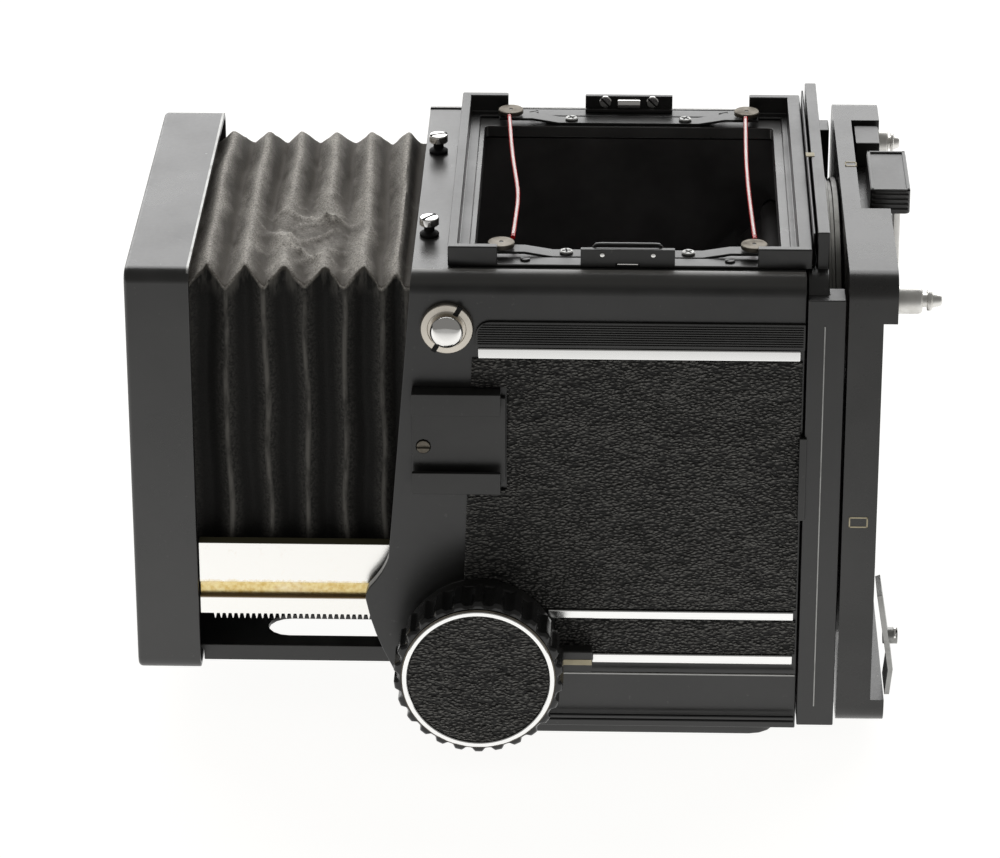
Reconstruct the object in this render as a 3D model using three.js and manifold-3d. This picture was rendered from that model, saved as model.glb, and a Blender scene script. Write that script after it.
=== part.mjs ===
// A bare medium-format reflex camera body with bellows focusing and a revolving back.
// Millimetres. X runs from the lens end (-) to the film end (+), Y towards the camera's own
// right side, Z up. Heights count from the underside of the base plate, and X from the face
// of the body's front frame; the finished group is moved so that its origin is the middle
// of the underside of its bounding box.
import * as THREE from 'three';
import { mergeVertices } from 'three/addons/utils/BufferGeometryUtils.js';
import Module from 'manifold-3d';

const wasm = await Module();
wasm.setup();

// ---------------------------------------------------------------- driving dimensions

// Clearances.
const GAP = 0.3; // between pieces that rest on or beside each other
const GLUE = 0.1; // under leatherette, trims and plates
const RUNNING = 0.35; // round a turning or sliding piece

// Body shell. The back is square, so the body's width also sets its height.
const BODY_LENGTH = 84;
const BODY_WIDTH = 104;
const BACK_OVERHANG = 1.5; // of the square back past each side of the body
const BACK_CLEARANCE = 4.1; // under the square back
const BACK_ABOVE_DECK = 1.2;
const COVER_WALL = 3;
const COVER_EDGE_RADIUS = 4.4;
const DECK_THICKNESS = 2.7;
const BASE_THICKNESS = 2.4;
const BASE_REAR_INSET = 4;
const BASE_INSET = 2;
const FRAME_THICKNESS = 3;
const FLOOR_HEIGHT = 10; // bottom casting
const FLOOR_WALL = 2.5;

// The covers' front edge leans forward and ends in a nose over the rail.
const NOSE_LEAN = 5.2;
const NOSE_REACH = 10.2;
const NOSE_HEIGHT = 33;
const NOSE_SHOULDER = 10.5; // from the nose's tip up to where it meets the leaning edge
const NOSE_FOOT = 16; // from the nose's tip down to its foot

// Light path.
const LIGHT_INSET = 15; // from the body's side to the light path
const BOX_WALL = 2;
const BOX_FLOOR = 26;
const BOX_FRONT = 3.4;
const WELL_FRONT = 13.3;
const WELL_REAR_INSET = 5.1;
const FRONT_WINDOW_LOW = 27;
const FRONT_WINDOW_DROP = 5.9; // below the deck

// Front standard and lens mount.
const STANDARD_DEPTH = 13.9;
const STANDARD_BOTTOM = 13.2;
const STANDARD_DROP = 0.8; // below the deck
const STANDARD_WALL = 1.2;
const STANDARD_FACE = 3;
const STANDARD_RADIUS = 3;
const STANDARD_SIDE_GAP = 0.8;
const MOUNT_INSET = 10.2; // from the standard's side to the mount
const MOUNT_WIDTH = 7; // of the ring's face
const MOUNT_THICKNESS = 3.6;
const MOUNT_NOTCHES = 3;
const COCKING_RING_INSET = 1.5; // inside the mount's rim
const COCKING_RING_THICKNESS = 2;

// Focusing travel, rails, rack and pinion.
const BELLOWS_DRAW = 46;
const CLOSED_GAP = 1.2;
const RAIL_THICKNESS = 3;
const RAIL_INSET = 0.6; // inside the standard's own side
const RAIL_TAIL = 36; // inside the body at full draw
const RAIL_TOP = 44.6;
const RAIL_GROOVE_TOP = 35.1;
const RAIL_GROOVE_LOW = 31.7;
const RAIL_GROOVE_DEPTH = 1.2;
const RACK_PITCH = 1.3;
const RACK_TIP = 26.2;
const RACK_DEPTH = 1.2;
const RACK_ADDENDUM = 0.3;
const PINION_TEETH = 18;
const PINION_ADDENDUM = 0.25;
const PINION_DEDENDUM = 0.6;
const TOOTH_SHARE = 0.34; // of the pitch, at the pitch line, which leaves backlash
const SHAFT_RADIUS = 3;
const SHAFT_X = 14.8;
const SLIDE_PLATE_LOW = 16;
const SLIDE_PLATE_THICKNESS = 1.2;
const SLIDE_PLATE_SLOT_WIDTH = 10;
const SLIDE_PLATE_SLOT_INSET = 5;
const SLIDE_PLATE_FLANGE = 2.6;

// Bellows.
const BELLOWS_PLEATS = 6;
const BELLOWS_FOLD = 4;
const BELLOWS_CLOTH = 1.5;
const BELLOWS_LOW = 23;
const BELLOWS_DROP = 2.3; // below the deck

// Focus knobs and lock lever.
const KNOB_REACH = 17; // face of the knob outside the cover
const KNOB_DEPTH = 10.5;
const KNOB_RADIUS = 18.4;
const KNOB_SCALLOPS = 26;
const KNOB_SCALLOP_DEPTH = 0.9;
const KNOB_RING_OUTER = 16.6;
const KNOB_RING_WIDTH = 1.25;
const KNOB_FACE_STEP = 0.9;
const BOSS_RADIUS = 16;
const BOSS_HEIGHT = 1.6;
const LOCK_RING_RADIUS = 17;
const LOCK_RING_BORE = 8;
const LOCK_THICKNESS = 3.4;
const LOCK_TAB_REACH = 24.5;
const LOCK_TAB_HEIGHT = 5;

// Leatherette, trims and plates on the covers.
const SKIN_THICKNESS = 0.7;
const SKIN_LEFT_TOP = 13.2;
const SKIN_LEFT_FOOT = 11;
const SKIN_LOW = 21.4;
const SKIN_REAR_INSET = 0.5;
const TRIM_THICKNESS = 0.9;
const UPPER_TRIM_DROP = 18.3; // below the deck
const UPPER_TRIM_HEIGHT = 2.4;
const MIDDLE_TRIM_LOW = 29.8;
const MIDDLE_TRIM_HEIGHT = 2;
const MIDDLE_TRIM_FRONT = 29.5;
const LOWER_TRIM_LOW = 19;
const LOWER_TRIM_HEIGHT = 2.2;
const LOWER_TRIM_FRONT = 39.2;
const TRIM_REAR_INSET = 1;
const PLATE_HEIGHT = 5.9;
const PLATE_FRONT = 13.9;

// Strap lugs.
const LUG_X = 7.9;
const LUG_DROP = 11.4; // below the deck
const LUG_COLLAR_RADIUS = 5.75;
const LUG_COLLAR_HEIGHT = 1.4;
const LUG_NECK_RADIUS = 2.2;
const LUG_DOME_RADIUS = 3.6;

// Accessory shoe.
const SHOE_FRONT = 0.3;
const SHOE_LENGTH = 19;
const SHOE_DROP = 48.9; // from the deck down to the shoe's foot
const SHOE_HEIGHT = 23.5;
const SHOE_SHEET = 1.1;
const SHOE_RISE = 4;
const SHOE_LIP = 5;
const SHOE_SCREW = { x: 2.7, up: 10, radius: 1.5 };

// Finder seat.
const SEAT_FRONT = 7.9;
const SEAT_REAR_PAST = 1.2; // past the body's rear edge
const SEAT_INSET = 5.7; // from the body's side
const SEAT_BASE = 0.6;
const SEAT_BASE_WIDTH = 4.3;
const SEAT_RISE = 4.7;
const SEAT_FRONT_WALL = 2;
const SEAT_REAR_WALL = 2.9;
const SEAT_SIDE_WALL = 2;
const SEAT_CORNER = 10.5;
const CATCH_FRONT = 36.1;
const CATCH_LENGTH = 20;
const CATCH_RISE = 3.8;
const CATCH_LIP = 1.2;
const DECK_SCREW_X = 3.3;
const DECK_SCREW_RIGHT = 20.1;
const DECK_SCREW_LEFT = -29;
const DECK_SCREW_RISE = 4.5;
const DECK_SCREW_HEAD = 2.1;

// Format lines, their discs and leaf bars.
const LEAF_STANDOFF = 2.6; // from the light path to the middle of a bar
const LEAF_WIDTH = 4;
const LEAF_THICKNESS = 0.6;
const LEAF_RISE = 1;
const DISC_RADIUS = 2.85;
const DISC_THICKNESS = 0.9;
const FRONT_DISC_X = 19.1;
const REAR_DISC_INSET = 11;
const LINE_DIAMETER = 1.1;
const LINE_OFFSET = 2.4; // of a line's end from the middle of its disc

// Mirror and rear baffle.
const MIRROR_LENGTH = 66;
const MIRROR_CLEAR = 8; // from the hinge to the glass
const MIRROR_SIDE_GAP = 3;
const MIRROR_GLASS = 2;
const MIRROR_CARRIER = 1.4;
const MIRROR_PIN_RADIUS = 1.5;
const MIRROR_HUB_RADIUS = 2.5;
const BAFFLE_FLOOR_GAP = 1.5;
const BAFFLE_THICKNESS = 1.2;
const BAFFLE_PIN_RADIUS = 1.2;
const BAFFLE_HINGE_DROP = 5;
const BAFFLE_HINGE_BACK = 2.2;

// Rear frame and revolving back.
const REAR_FRAME_DEPTH = 4.5;
const REAR_FRAME_INSET = 1.5;
const REAR_FRAME_BOTTOM = 3.2;
const REAR_FRAME_RADIUS = 5;
const SKIRT_WIDTH = 6.7; // of the frame's side skirts, which reach back round the revolving ring
const SKIRT_TOP_DROP = 4; // below the deck
const UPSTAND_INSET = 7; // from the body's side
const UPSTAND_THICKNESS = 2.5;
const UPSTAND_RISE = 8.1;
const BLADE_THICKNESS = 0.5;
const BLADE_RISE = 7.1;
const BLADE_STANDOFF = 0.4;
const RING_INSET = 2.3; // inside the adapter's edge
const RING_WIDTH = 7.2;
const RING_THICKNESS = 3.5;
const ADAPTER_THICKNESS = 7.4;
const ADAPTER_RADIUS = 5;
const ADAPTER_WINDOW_HEIGHT = 60;
const RIM_DEPTH = 3;
const TOP_RIM_HEIGHT = 10.4;
const BOTTOM_RIM_HEIGHT = 6.7;
const RECESS_LEFT = -14;
const RECESS_TO_PIN = 6.6;
const RECESS_DEPTH = 6.6;
const RECESS_FRONT = 3.4; // rim metal left in front of the recess
const LOCK_BLOCK_LEFT = -2.7;
const LOCK_BLOCK_LENGTH = 23.5;
const LOCK_BLOCK_REACH = 8;
const LOCK_BLOCK_HEIGHT = 5.8;
const LOCK_STRIP_DROP = 14;
const PIN_DROP = 7.9; // interlock pins below the adapter's top edge
const PIN_INSET = 7.5; // and inside its side edges
const PIN_RADIUS = 3;
const PIN_CHAMFER = 0.4;
const LEFT_PIN_REACH = 12.6;
const RIGHT_PIN_REACH = 8.2;
const LATCH_INSET = 1.5;
const LATCH_WIDTH = 10;
const LATCH_SHEET = 1.1;

// Controls on the right side and the release at the front.
const LEVER_INSET = 22; // from the body's rear edge
const LEVER_HEIGHT = 56;
const LEVER_LENGTH = 42;
const LEVER_REST_DEG = 100;
const LEVER_HUB_RADIUS = 8;
const LEVER_SHEET = 3.2;
const LEVER_PAD = 5;
const RELEASE_INSET = 16; // from the body's side
const RELEASE_HEIGHT = 7.9;
const RELEASE_RADIUS = 3;
const RELEASE_STEM_RADIUS = 1.6;
const RELEASE_TRAVEL = 3;
const COLLAR_RADIUS = 4.6;
const COLLAR_DEPTH = 2.8;

// Tripod socket.
const SOCKET_X = 40;
const SOCKET_RADIUS = 8;
const SOCKET_BORE_RADIUS = 4.76;
const SOCKET_FLANGE_RADIUS = 11;

// ---------------------------------------------------------------- worked-out places

const HALF_WIDTH = BODY_WIDTH / 2;
const HALF_BACK = HALF_WIDTH + BACK_OVERHANG;
const INSIDE_COVER = HALF_WIDTH - COVER_WALL;
const AXIS_HEIGHT = BACK_CLEARANCE + HALF_BACK; // lens axis above the underside of the base plate
const DECK_TOP = AXIS_HEIGHT + HALF_BACK - BACK_ABOVE_DECK;
const LIGHT_HALF_WIDTH = HALF_WIDTH - LIGHT_INSET;
const BODY_FLOOR = BASE_THICKNESS + GAP + GLUE;
const FRAME_HALF_WIDTH = INSIDE_COVER - GAP;
const FRAME_TOP = DECK_TOP - DECK_THICKNESS - GAP;
const WELL_REAR = BODY_LENGTH - WELL_REAR_INSET;
const FRONT_WINDOW_HIGH = DECK_TOP - FRONT_WINDOW_DROP;

const STANDARD_REAR = -(BELLOWS_DRAW + CLOSED_GAP);
const STANDARD_FRONT = STANDARD_REAR - STANDARD_DEPTH;
const STANDARD_HALF_WIDTH = INSIDE_COVER - STANDARD_SIDE_GAP;
const STANDARD_TOP = DECK_TOP - STANDARD_DROP;
const MOUNT_OUTER_RADIUS = STANDARD_HALF_WIDTH - MOUNT_INSET;
const MOUNT_BORE_RADIUS = MOUNT_OUTER_RADIUS - MOUNT_WIDTH;
const COCKING_RING_OUTER = MOUNT_OUTER_RADIUS - COCKING_RING_INSET;
const RAIL_OUTSIDE = STANDARD_HALF_WIDTH - RAIL_INSET;
const RAIL_INSIDE = RAIL_OUTSIDE - RAIL_THICKNESS;
const BELLOWS_HALF_WIDTH = RAIL_INSIDE - 2 * GAP;
const BELLOWS_HIGH = DECK_TOP - BELLOWS_DROP;
const SLIDE_PLATE_HALF_WIDTH = RAIL_INSIDE - 1.6;

const PITCH_RADIUS = (PINION_TEETH * RACK_PITCH) / (2 * Math.PI);
const PITCH_LINE = RACK_TIP + RACK_ADDENDUM;
const SHAFT_Z = PITCH_LINE - PITCH_RADIUS;
const KNOB_FACE = HALF_WIDTH + KNOB_REACH;
const KNOB_BACK = KNOB_FACE - KNOB_DEPTH;

const MIRROR_HALF_WIDTH = LIGHT_HALF_WIDTH - MIRROR_SIDE_GAP;
const MIRROR_HINGE_X = BODY_LENGTH - 5;
const MIRROR_HINGE_Z = AXIS_HEIGHT + MIRROR_HINGE_X - (WELL_FRONT + WELL_REAR) / 2;
const BAFFLE_HINGE_X = MIRROR_HINGE_X + BAFFLE_HINGE_BACK;
const BAFFLE_HINGE_Z = MIRROR_HINGE_Z - BAFFLE_HINGE_DROP;

const REAR_FRAME_FRONT = BODY_LENGTH + GAP;
const REAR_FRAME_REAR = REAR_FRAME_FRONT + REAR_FRAME_DEPTH;
const RING_FRONT = REAR_FRAME_REAR + GAP;
const ADAPTER_FRONT = RING_FRONT + RING_THICKNESS + GAP;
const ADAPTER_REAR = ADAPTER_FRONT + ADAPTER_THICKNESS;
const RIM_REAR = ADAPTER_REAR + RIM_DEPTH;
const ADAPTER_TOP = AXIS_HEIGHT + HALF_BACK;
const ADAPTER_BOTTOM = AXIS_HEIGHT - HALF_BACK;
const REARMOST = ADAPTER_REAR + LEFT_PIN_REACH;
const RING_RADIUS = HALF_BACK - RING_INSET;
const REAR_BORE_RADIUS = RING_RADIUS - RING_WIDTH;
const UPSTAND_HALF_WIDTH = HALF_WIDTH - UPSTAND_INSET;
const PIN_Y = HALF_BACK - PIN_INSET;
const PIN_Z = ADAPTER_TOP - PIN_DROP;
const LATCH_LEFT = LATCH_INSET - HALF_BACK;

const UPPER_TRIM_LOW = DECK_TOP - UPPER_TRIM_DROP;
const SKIN_HIGH = UPPER_TRIM_LOW - GAP;
const LEFT_SKIN_LOW = MIDDLE_TRIM_LOW + MIDDLE_TRIM_HEIGHT + GAP;
const LUG_HEIGHT = DECK_TOP - LUG_DROP;
const SHOE_LOW = DECK_TOP - SHOE_DROP;
const LEVER_X = BODY_LENGTH - LEVER_INSET;
const RELEASE_Y = HALF_WIDTH - RELEASE_INSET;

const SEAT_HALF_WIDTH = HALF_WIDTH - SEAT_INSET;
const LEAF_Y = LIGHT_HALF_WIDTH + LEAF_STANDOFF;
const REAR_DISC_X = BODY_LENGTH - REAR_DISC_INSET;
const LEAF_END_TOP = DECK_TOP + LEAF_RISE + 2 * LEAF_THICKNESS;
const DISC_LOW = LEAF_END_TOP + GLUE;

// ---------------------------------------------------------------- shape helpers

const X = new THREE.Vector3(1, 0, 0);
const Y = new THREE.Vector3(0, 1, 0);
const Z = new THREE.Vector3(0, 0, 1);
const WELD = 1e-4;

// Where the outline plane of a prism goes: local x and y, then the direction it runs in.
const PRISM_BASES = {
  x: new THREE.Matrix4().makeBasis(Y, Z, X),
  y: new THREE.Matrix4().makeBasis(X, Z, Y.clone().negate()),
  z: new THREE.Matrix4(),
};

// Where the spin axis of a turned piece, its local y, goes.
const TURN_BASES = {
  x: new THREE.Matrix4().makeBasis(Z, X, Y),
  y: new THREE.Matrix4(),
  z: new THREE.Matrix4().makeBasis(X, Z, Y.clone().negate()),
};

/** A closed three.js geometry as a solid that can be joined and cut. */
function toSolid(geometry, placement) {
  geometry.deleteAttribute('normal');
  geometry.deleteAttribute('uv');
  const welded = mergeVertices(geometry, WELD);
  welded.applyMatrix4(placement);
  const corners = welded.index.array;
  const kept = [];
  for (let i = 0; i < corners.length; i += 3) {
    const triangle = [corners[i], corners[i + 1], corners[i + 2]];
    if (new Set(triangle).size === 3) {
      kept.push(...triangle);
    }
  }
  const vertProperties = welded.attributes.position.array;
  const make = (triVerts) => new wasm.Manifold(new wasm.Mesh({ numProp: 3, vertProperties, triVerts }));
  const made = make(Uint32Array.from(kept));
  return made.volume() > 0 ? made : make(Uint32Array.from(kept).reverse());
}

/** A block between two values on each axis. */
function block(x0, x1, y0, y1, z0, z1) {
  const centre = new THREE.Matrix4().makeTranslation((x0 + x1) / 2, (y0 + y1) / 2, (z0 + z1) / 2);
  return toSolid(new THREE.BoxGeometry(x1 - x0, y1 - y0, z1 - z0), centre);
}

/** An outline pushed along an axis: (y, z) along x, (x, z) along y, (x, y) along z. */
function prism(axis, outline, from, to, arcSteps = 2) {
  const options = { depth: to - from, bevelEnabled: false, curveSegments: arcSteps };
  const geometry = new THREE.ExtrudeGeometry(outline, options);
  geometry.translate(0, 0, axis === 'y' ? -to : from);
  return toSolid(geometry, PRISM_BASES[axis]);
}

/** A profile of [radius, place along the axis] points, spun about an axis through a point. */
function turned(axis, centre, profile, sides) {
  const points = profile.map(([radius, along]) => new THREE.Vector2(radius, along));
  const place = TURN_BASES[axis].clone();
  const at = { x: [0, centre[0], centre[1]], y: [centre[0], 0, centre[1]], z: [centre[0], centre[1], 0] };
  place.setPosition(...at[axis]);
  return toSolid(new THREE.LatheGeometry(points, sides), place);
}

/** A plain round rod or disc. */
function rod(axis, centre, radius, from, to, sides = 16) {
  return turned(axis, centre, [[0, from], [radius, from], [radius, to], [0, to]], sides);
}

/** A flat ring with a square section. */
function ring(axis, centre, outer, inner, from, to, sides = 36) {
  const profile = [[outer, from], [outer, to], [inner, to], [inner, from], [outer, from]];
  return turned(axis, centre, profile, sides);
}

/** A closed outline through a list of corners. */
function outlineOf(corners) {
  return new THREE.Shape(corners.map(([u, v]) => new THREE.Vector2(u, v)));
}

/** A rectangle with rounded corners. */
function roundedRectangle(u0, u1, v0, v1, radius) {
  const shape = new THREE.Shape();
  shape.moveTo(u0 + radius, v0);
  shape.lineTo(u1 - radius, v0);
  shape.absarc(u1 - radius, v0 + radius, radius, -Math.PI / 2, 0, false);
  shape.lineTo(u1, v1 - radius);
  shape.absarc(u1 - radius, v1 - radius, radius, 0, Math.PI / 2, false);
  shape.lineTo(u0 + radius, v1);
  shape.absarc(u0 + radius, v1 - radius, radius, Math.PI / 2, Math.PI, false);
  shape.lineTo(u0, v0 + radius);
  shape.absarc(u0 + radius, v0 + radius, radius, Math.PI, 1.5 * Math.PI, false);
  return shape;
}

/** The same piece on the camera's other side. */
function otherSide(shape) {
  return shape.mirror([0, 1, 0]);
}

/** A piece made for the right side, put on the side asked for: 1 is right, -1 is left. */
function onSide(side, shape) {
  return side > 0 ? shape : otherSide(shape);
}

// ---------------------------------------------------------------- finishes

const finish = (color, roughness, metalness) => ({ color, roughness, metalness });
const BLACK_ENAMEL = finish(0x1a1a1b, 0.42, 0.1);
const MATT_BLACK = finish(0x0c0c0c, 0.9, 0);
const BLACK_STEEL = finish(0x222222, 0.45, 0.6);
const LEATHERETTE = finish(0x161616, 0.75, 0);
const PLEATED_CLOTH = finish(0x2b2a29, 0.9, 0);
const CHROME = finish(0xdedede, 0.15, 1);
const SATIN_STEEL = finish(0xcfcdc6, 0.35, 0.9);
const AGED_BRASS = finish(0xa8a08c, 0.5, 0.8);
const GREY_STEEL = finish(0x8d8d88, 0.4, 0.8);
const SILVERED_GLASS = finish(0xcfd4d6, 0.05, 1);
const RED_PLASTIC = finish(0xc8483f, 0.5, 0);

/** A named mesh of one solid in its own finish. */
function piece(name, shape, look) {
  const { vertProperties, triVerts } = shape.getMesh();
  const geometry = new THREE.BufferGeometry();
  geometry.setAttribute('position', new THREE.BufferAttribute(vertProperties, 3));
  geometry.setIndex(new THREE.BufferAttribute(triVerts, 1));
  geometry.computeVertexNormals();
  const mesh = new THREE.Mesh(geometry, new THREE.MeshStandardMaterial(look));
  mesh.name = name;
  return mesh;
}

/** A group of meshes that belong together. */
function assembly(...parts) {
  const group = new THREE.Group();
  group.add(...parts);
  return group;
}

// ---------------------------------------------------------------- body shell

/** Side view of a cover: a leaning front edge that swells into the nose over the rail. */
function coverOutline() {
  const lean = -NOSE_LEAN;
  const tip = -NOSE_REACH;
  const shoulder = NOSE_HEIGHT + NOSE_SHOULDER;
  const foot = NOSE_HEIGHT - NOSE_FOOT;
  const shape = new THREE.Shape();
  shape.moveTo(BODY_LENGTH, BODY_FLOOR);
  shape.lineTo(BODY_LENGTH, DECK_TOP + GAP);
  shape.lineTo(GAP, DECK_TOP + GAP);
  shape.lineTo(lean, shoulder);
  shape.quadraticCurveTo(lean - 1, shoulder - 3.5, tip + 0.8, NOSE_HEIGHT + 3.4);
  shape.quadraticCurveTo(tip - 0.4, NOSE_HEIGHT + 1.5, tip, NOSE_HEIGHT);
  shape.quadraticCurveTo(tip + 1.4, NOSE_HEIGHT - 8, tip + 5.5, foot);
  shape.quadraticCurveTo(tip + 8, foot - 6.5, tip + 10.7, foot - 11);
  shape.lineTo(2, BODY_FLOOR);
  return shape;
}

/** End view of the right cover: a wall that curls over at the top. */
function coverSection() {
  const curl = HALF_WIDTH - COVER_EDGE_RADIUS;
  const top = DECK_TOP + GAP;
  const inner = COVER_EDGE_RADIUS - COVER_WALL;
  const shape = new THREE.Shape();
  shape.moveTo(INSIDE_COVER, BODY_FLOOR);
  shape.lineTo(HALF_WIDTH, BODY_FLOOR);
  shape.lineTo(HALF_WIDTH, top - COVER_EDGE_RADIUS);
  shape.absarc(curl, top - COVER_EDGE_RADIUS, COVER_EDGE_RADIUS, 0, Math.PI / 2, false);
  shape.lineTo(curl, top - COVER_WALL);
  shape.absarc(curl, top - COVER_EDGE_RADIUS, inner, Math.PI / 2, 0, true);
  shape.lineTo(INSIDE_COVER, BODY_FLOOR);
  return shape;
}

/** A side cover with its knob boss, shaft hole and, on the right, the lever's hole. */
function sideCover(side) {
  const wall = prism('x', coverSection(), -NOSE_REACH - 1, BODY_LENGTH, 4);
  const shaft = [SHAFT_X, SHAFT_Z];
  let cover = wall
    .intersect(prism('y', coverOutline(), INSIDE_COVER - 6, HALF_WIDTH + 1, 4))
    .add(rod('y', shaft, BOSS_RADIUS, INSIDE_COVER + 1, HALF_WIDTH + BOSS_HEIGHT, 32))
    .subtract(rod('y', shaft, SHAFT_RADIUS + RUNNING, INSIDE_COVER - 1, HALF_WIDTH + 3));
  if (side > 0) {
    const lever = [LEVER_X, LEVER_HEIGHT];
    cover = cover.subtract(rod('y', lever, SHAFT_RADIUS + RUNNING, INSIDE_COVER - 1, HALF_WIDTH + 1));
  }
  return onSide(side, cover);
}

/** The frame that the bellows, rails and slide plate come through. */
function frontFrame() {
  const plate = roundedRectangle(-FRAME_HALF_WIDTH, FRAME_HALF_WIDTH, BODY_FLOOR, FRAME_TOP, 2);
  const window = roundedRectangle(
    -LIGHT_HALF_WIDTH, LIGHT_HALF_WIDTH, FRONT_WINDOW_LOW, FRONT_WINDOW_HIGH, 2);
  const slotHalf = SLIDE_PLATE_HALF_WIDTH + GAP + GLUE;
  const slotLow = SLIDE_PLATE_LOW - SLIDE_PLATE_FLANGE - GAP - GLUE;
  const slotHigh = SLIDE_PLATE_LOW + SLIDE_PLATE_THICKNESS + GAP + GLUE;
  let frame = prism('x', plate, 0, FRAME_THICKNESS)
    .subtract(prism('x', window, -1, FRAME_THICKNESS + 1))
    .subtract(block(-1, FRAME_THICKNESS + 1, -slotHalf, slotHalf, slotLow, slotHigh))
    .subtract(rod('x', [RELEASE_Y, RELEASE_HEIGHT], RELEASE_STEM_RADIUS + RUNNING, -1, FRAME_THICKNESS + 1));
  const notch = block(-1, FRAME_THICKNESS + 1, RAIL_INSIDE - RUNNING, HALF_WIDTH,
    RACK_TIP - RUNNING, RAIL_TOP + RUNNING);
  frame = frame.subtract(notch).subtract(otherSide(notch));
  return frame;
}

/** The top plate round the finder well. */
function deckPlate() {
  const half = HALF_WIDTH - COVER_EDGE_RADIUS - GAP;
  const well = roundedRectangle(WELL_FRONT, WELL_REAR, -LIGHT_HALF_WIDTH, LIGHT_HALF_WIDTH, 1);
  const low = DECK_TOP - DECK_THICKNESS;
  return block(GAP, BODY_LENGTH - GLUE, -half, half, low, DECK_TOP)
    .subtract(prism('z', well, low - 1, DECK_TOP + 1, 3));
}

/** The light-tight box that holds the mirror: open to the lens, the film and the finder. */
function mirrorBox() {
  const outer = LIGHT_HALF_WIDTH + BOX_WALL;
  const rear = BODY_LENGTH + GLUE;
  const shell = block(BOX_FRONT, rear, -outer, outer, BOX_FLOOR, FRAME_TOP);
  const inner = LIGHT_HALF_WIDTH;
  const roof = FRAME_TOP - BOX_WALL;
  return shell
    .subtract(block(BOX_FRONT - 1, rear + 1, -inner, inner, BOX_FLOOR + BOX_WALL, roof))
    .subtract(block(WELL_FRONT, WELL_REAR, -inner, inner, roof - 1, FRAME_TOP + 1))
    .subtract(rod('y', [MIRROR_HINGE_X, MIRROR_HINGE_Z], MIRROR_PIN_RADIUS + RUNNING, -outer - 1, outer + 1))
    .subtract(rod('y', [BAFFLE_HINGE_X, BAFFLE_HINGE_Z], BAFFLE_PIN_RADIUS + RUNNING, -outer - 1, outer + 1));
}

/** The tray under the mechanism, with the tripod socket through its floor. */
function bottomCasting() {
  const front = FRAME_THICKNESS + GAP;
  const high = BODY_FLOOR + FLOOR_HEIGHT;
  const inner = FRAME_HALF_WIDTH - FLOOR_WALL;
  return block(front, BODY_LENGTH, -FRAME_HALF_WIDTH, FRAME_HALF_WIDTH, BODY_FLOOR, high)
    .subtract(block(front + FLOOR_WALL + 3, BODY_LENGTH - FLOOR_WALL, -inner, inner,
      BODY_FLOOR + FLOOR_WALL, high + 1))
    .subtract(rod('x', [RELEASE_Y, RELEASE_HEIGHT], RELEASE_STEM_RADIUS + RUNNING, 0, front + FLOOR_WALL + 4))
    .subtract(rod('z', [SOCKET_X, 0], SOCKET_RADIUS + GAP, 0, high, 20));
}

/** The flat plate that the camera stands on. */
function basePlate() {
  const half = HALF_WIDTH - BASE_INSET;
  return prism('z', roundedRectangle(0, BODY_LENGTH - BASE_REAR_INSET, -half, half, 6), 0, BASE_THICKNESS)
    .subtract(rod('z', [SOCKET_X, 0], SOCKET_RADIUS + GAP, -1, BASE_THICKNESS + 1, 20));
}

/** The threaded bush in the base, with a flange inside the casting. */
function tripodSocket() {
  const flange = BODY_FLOOR + FLOOR_WALL + GLUE;
  const profile = [
    [SOCKET_BORE_RADIUS, GAP],
    [SOCKET_RADIUS, GAP],
    [SOCKET_RADIUS, flange],
    [SOCKET_FLANGE_RADIUS, flange],
    [SOCKET_FLANGE_RADIUS, flange + 2],
    [SOCKET_BORE_RADIUS, flange + 2],
    [SOCKET_BORE_RADIUS, GAP],
  ];
  return turned('z', [SOCKET_X, 0], profile, 20);
}

/** The casting behind the body: a bored plate with side skirts, its upstand and the thin light blade. */
function rearFrame() {
  const half = HALF_WIDTH - REAR_FRAME_INSET;
  const plate = roundedRectangle(-half, half, REAR_FRAME_BOTTOM, DECK_TOP - GAP + GLUE, REAR_FRAME_RADIUS);
  const upstandFront = REAR_FRAME_REAR - UPSTAND_THICKNESS;
  const bladeFront = upstandFront - BLADE_STANDOFF - BLADE_THICKNESS;
  const bladeHalf = UPSTAND_HALF_WIDTH - 2;
  const skirtRear = ADAPTER_FRONT - 2 * GAP;
  const skirtOutside = HALF_BACK - GAP;
  const skirt = block(REAR_FRAME_FRONT, skirtRear, skirtOutside - SKIRT_WIDTH, skirtOutside,
    REAR_FRAME_BOTTOM + 1, DECK_TOP - SKIRT_TOP_DROP)
    .subtract(rod('x', [0, AXIS_HEIGHT], RING_RADIUS + RUNNING, REAR_FRAME_REAR, skirtRear + 1, 64));
  return prism('x', plate, REAR_FRAME_FRONT, REAR_FRAME_REAR)
    .add(skirt)
    .add(otherSide(skirt))
    .add(block(upstandFront, REAR_FRAME_REAR, -UPSTAND_HALF_WIDTH, UPSTAND_HALF_WIDTH,
      DECK_TOP - 4, DECK_TOP + UPSTAND_RISE))
    .add(block(bladeFront, bladeFront + BLADE_THICKNESS, -bladeHalf, bladeHalf,
      DECK_TOP - 4, DECK_TOP + BLADE_RISE))
    .subtract(rod('x', [0, AXIS_HEIGHT], REAR_BORE_RADIUS, REAR_FRAME_FRONT - 1, REAR_FRAME_REAR + 1, 48));
}

// ---------------------------------------------------------------- skins, trims, lugs, shoe

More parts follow.
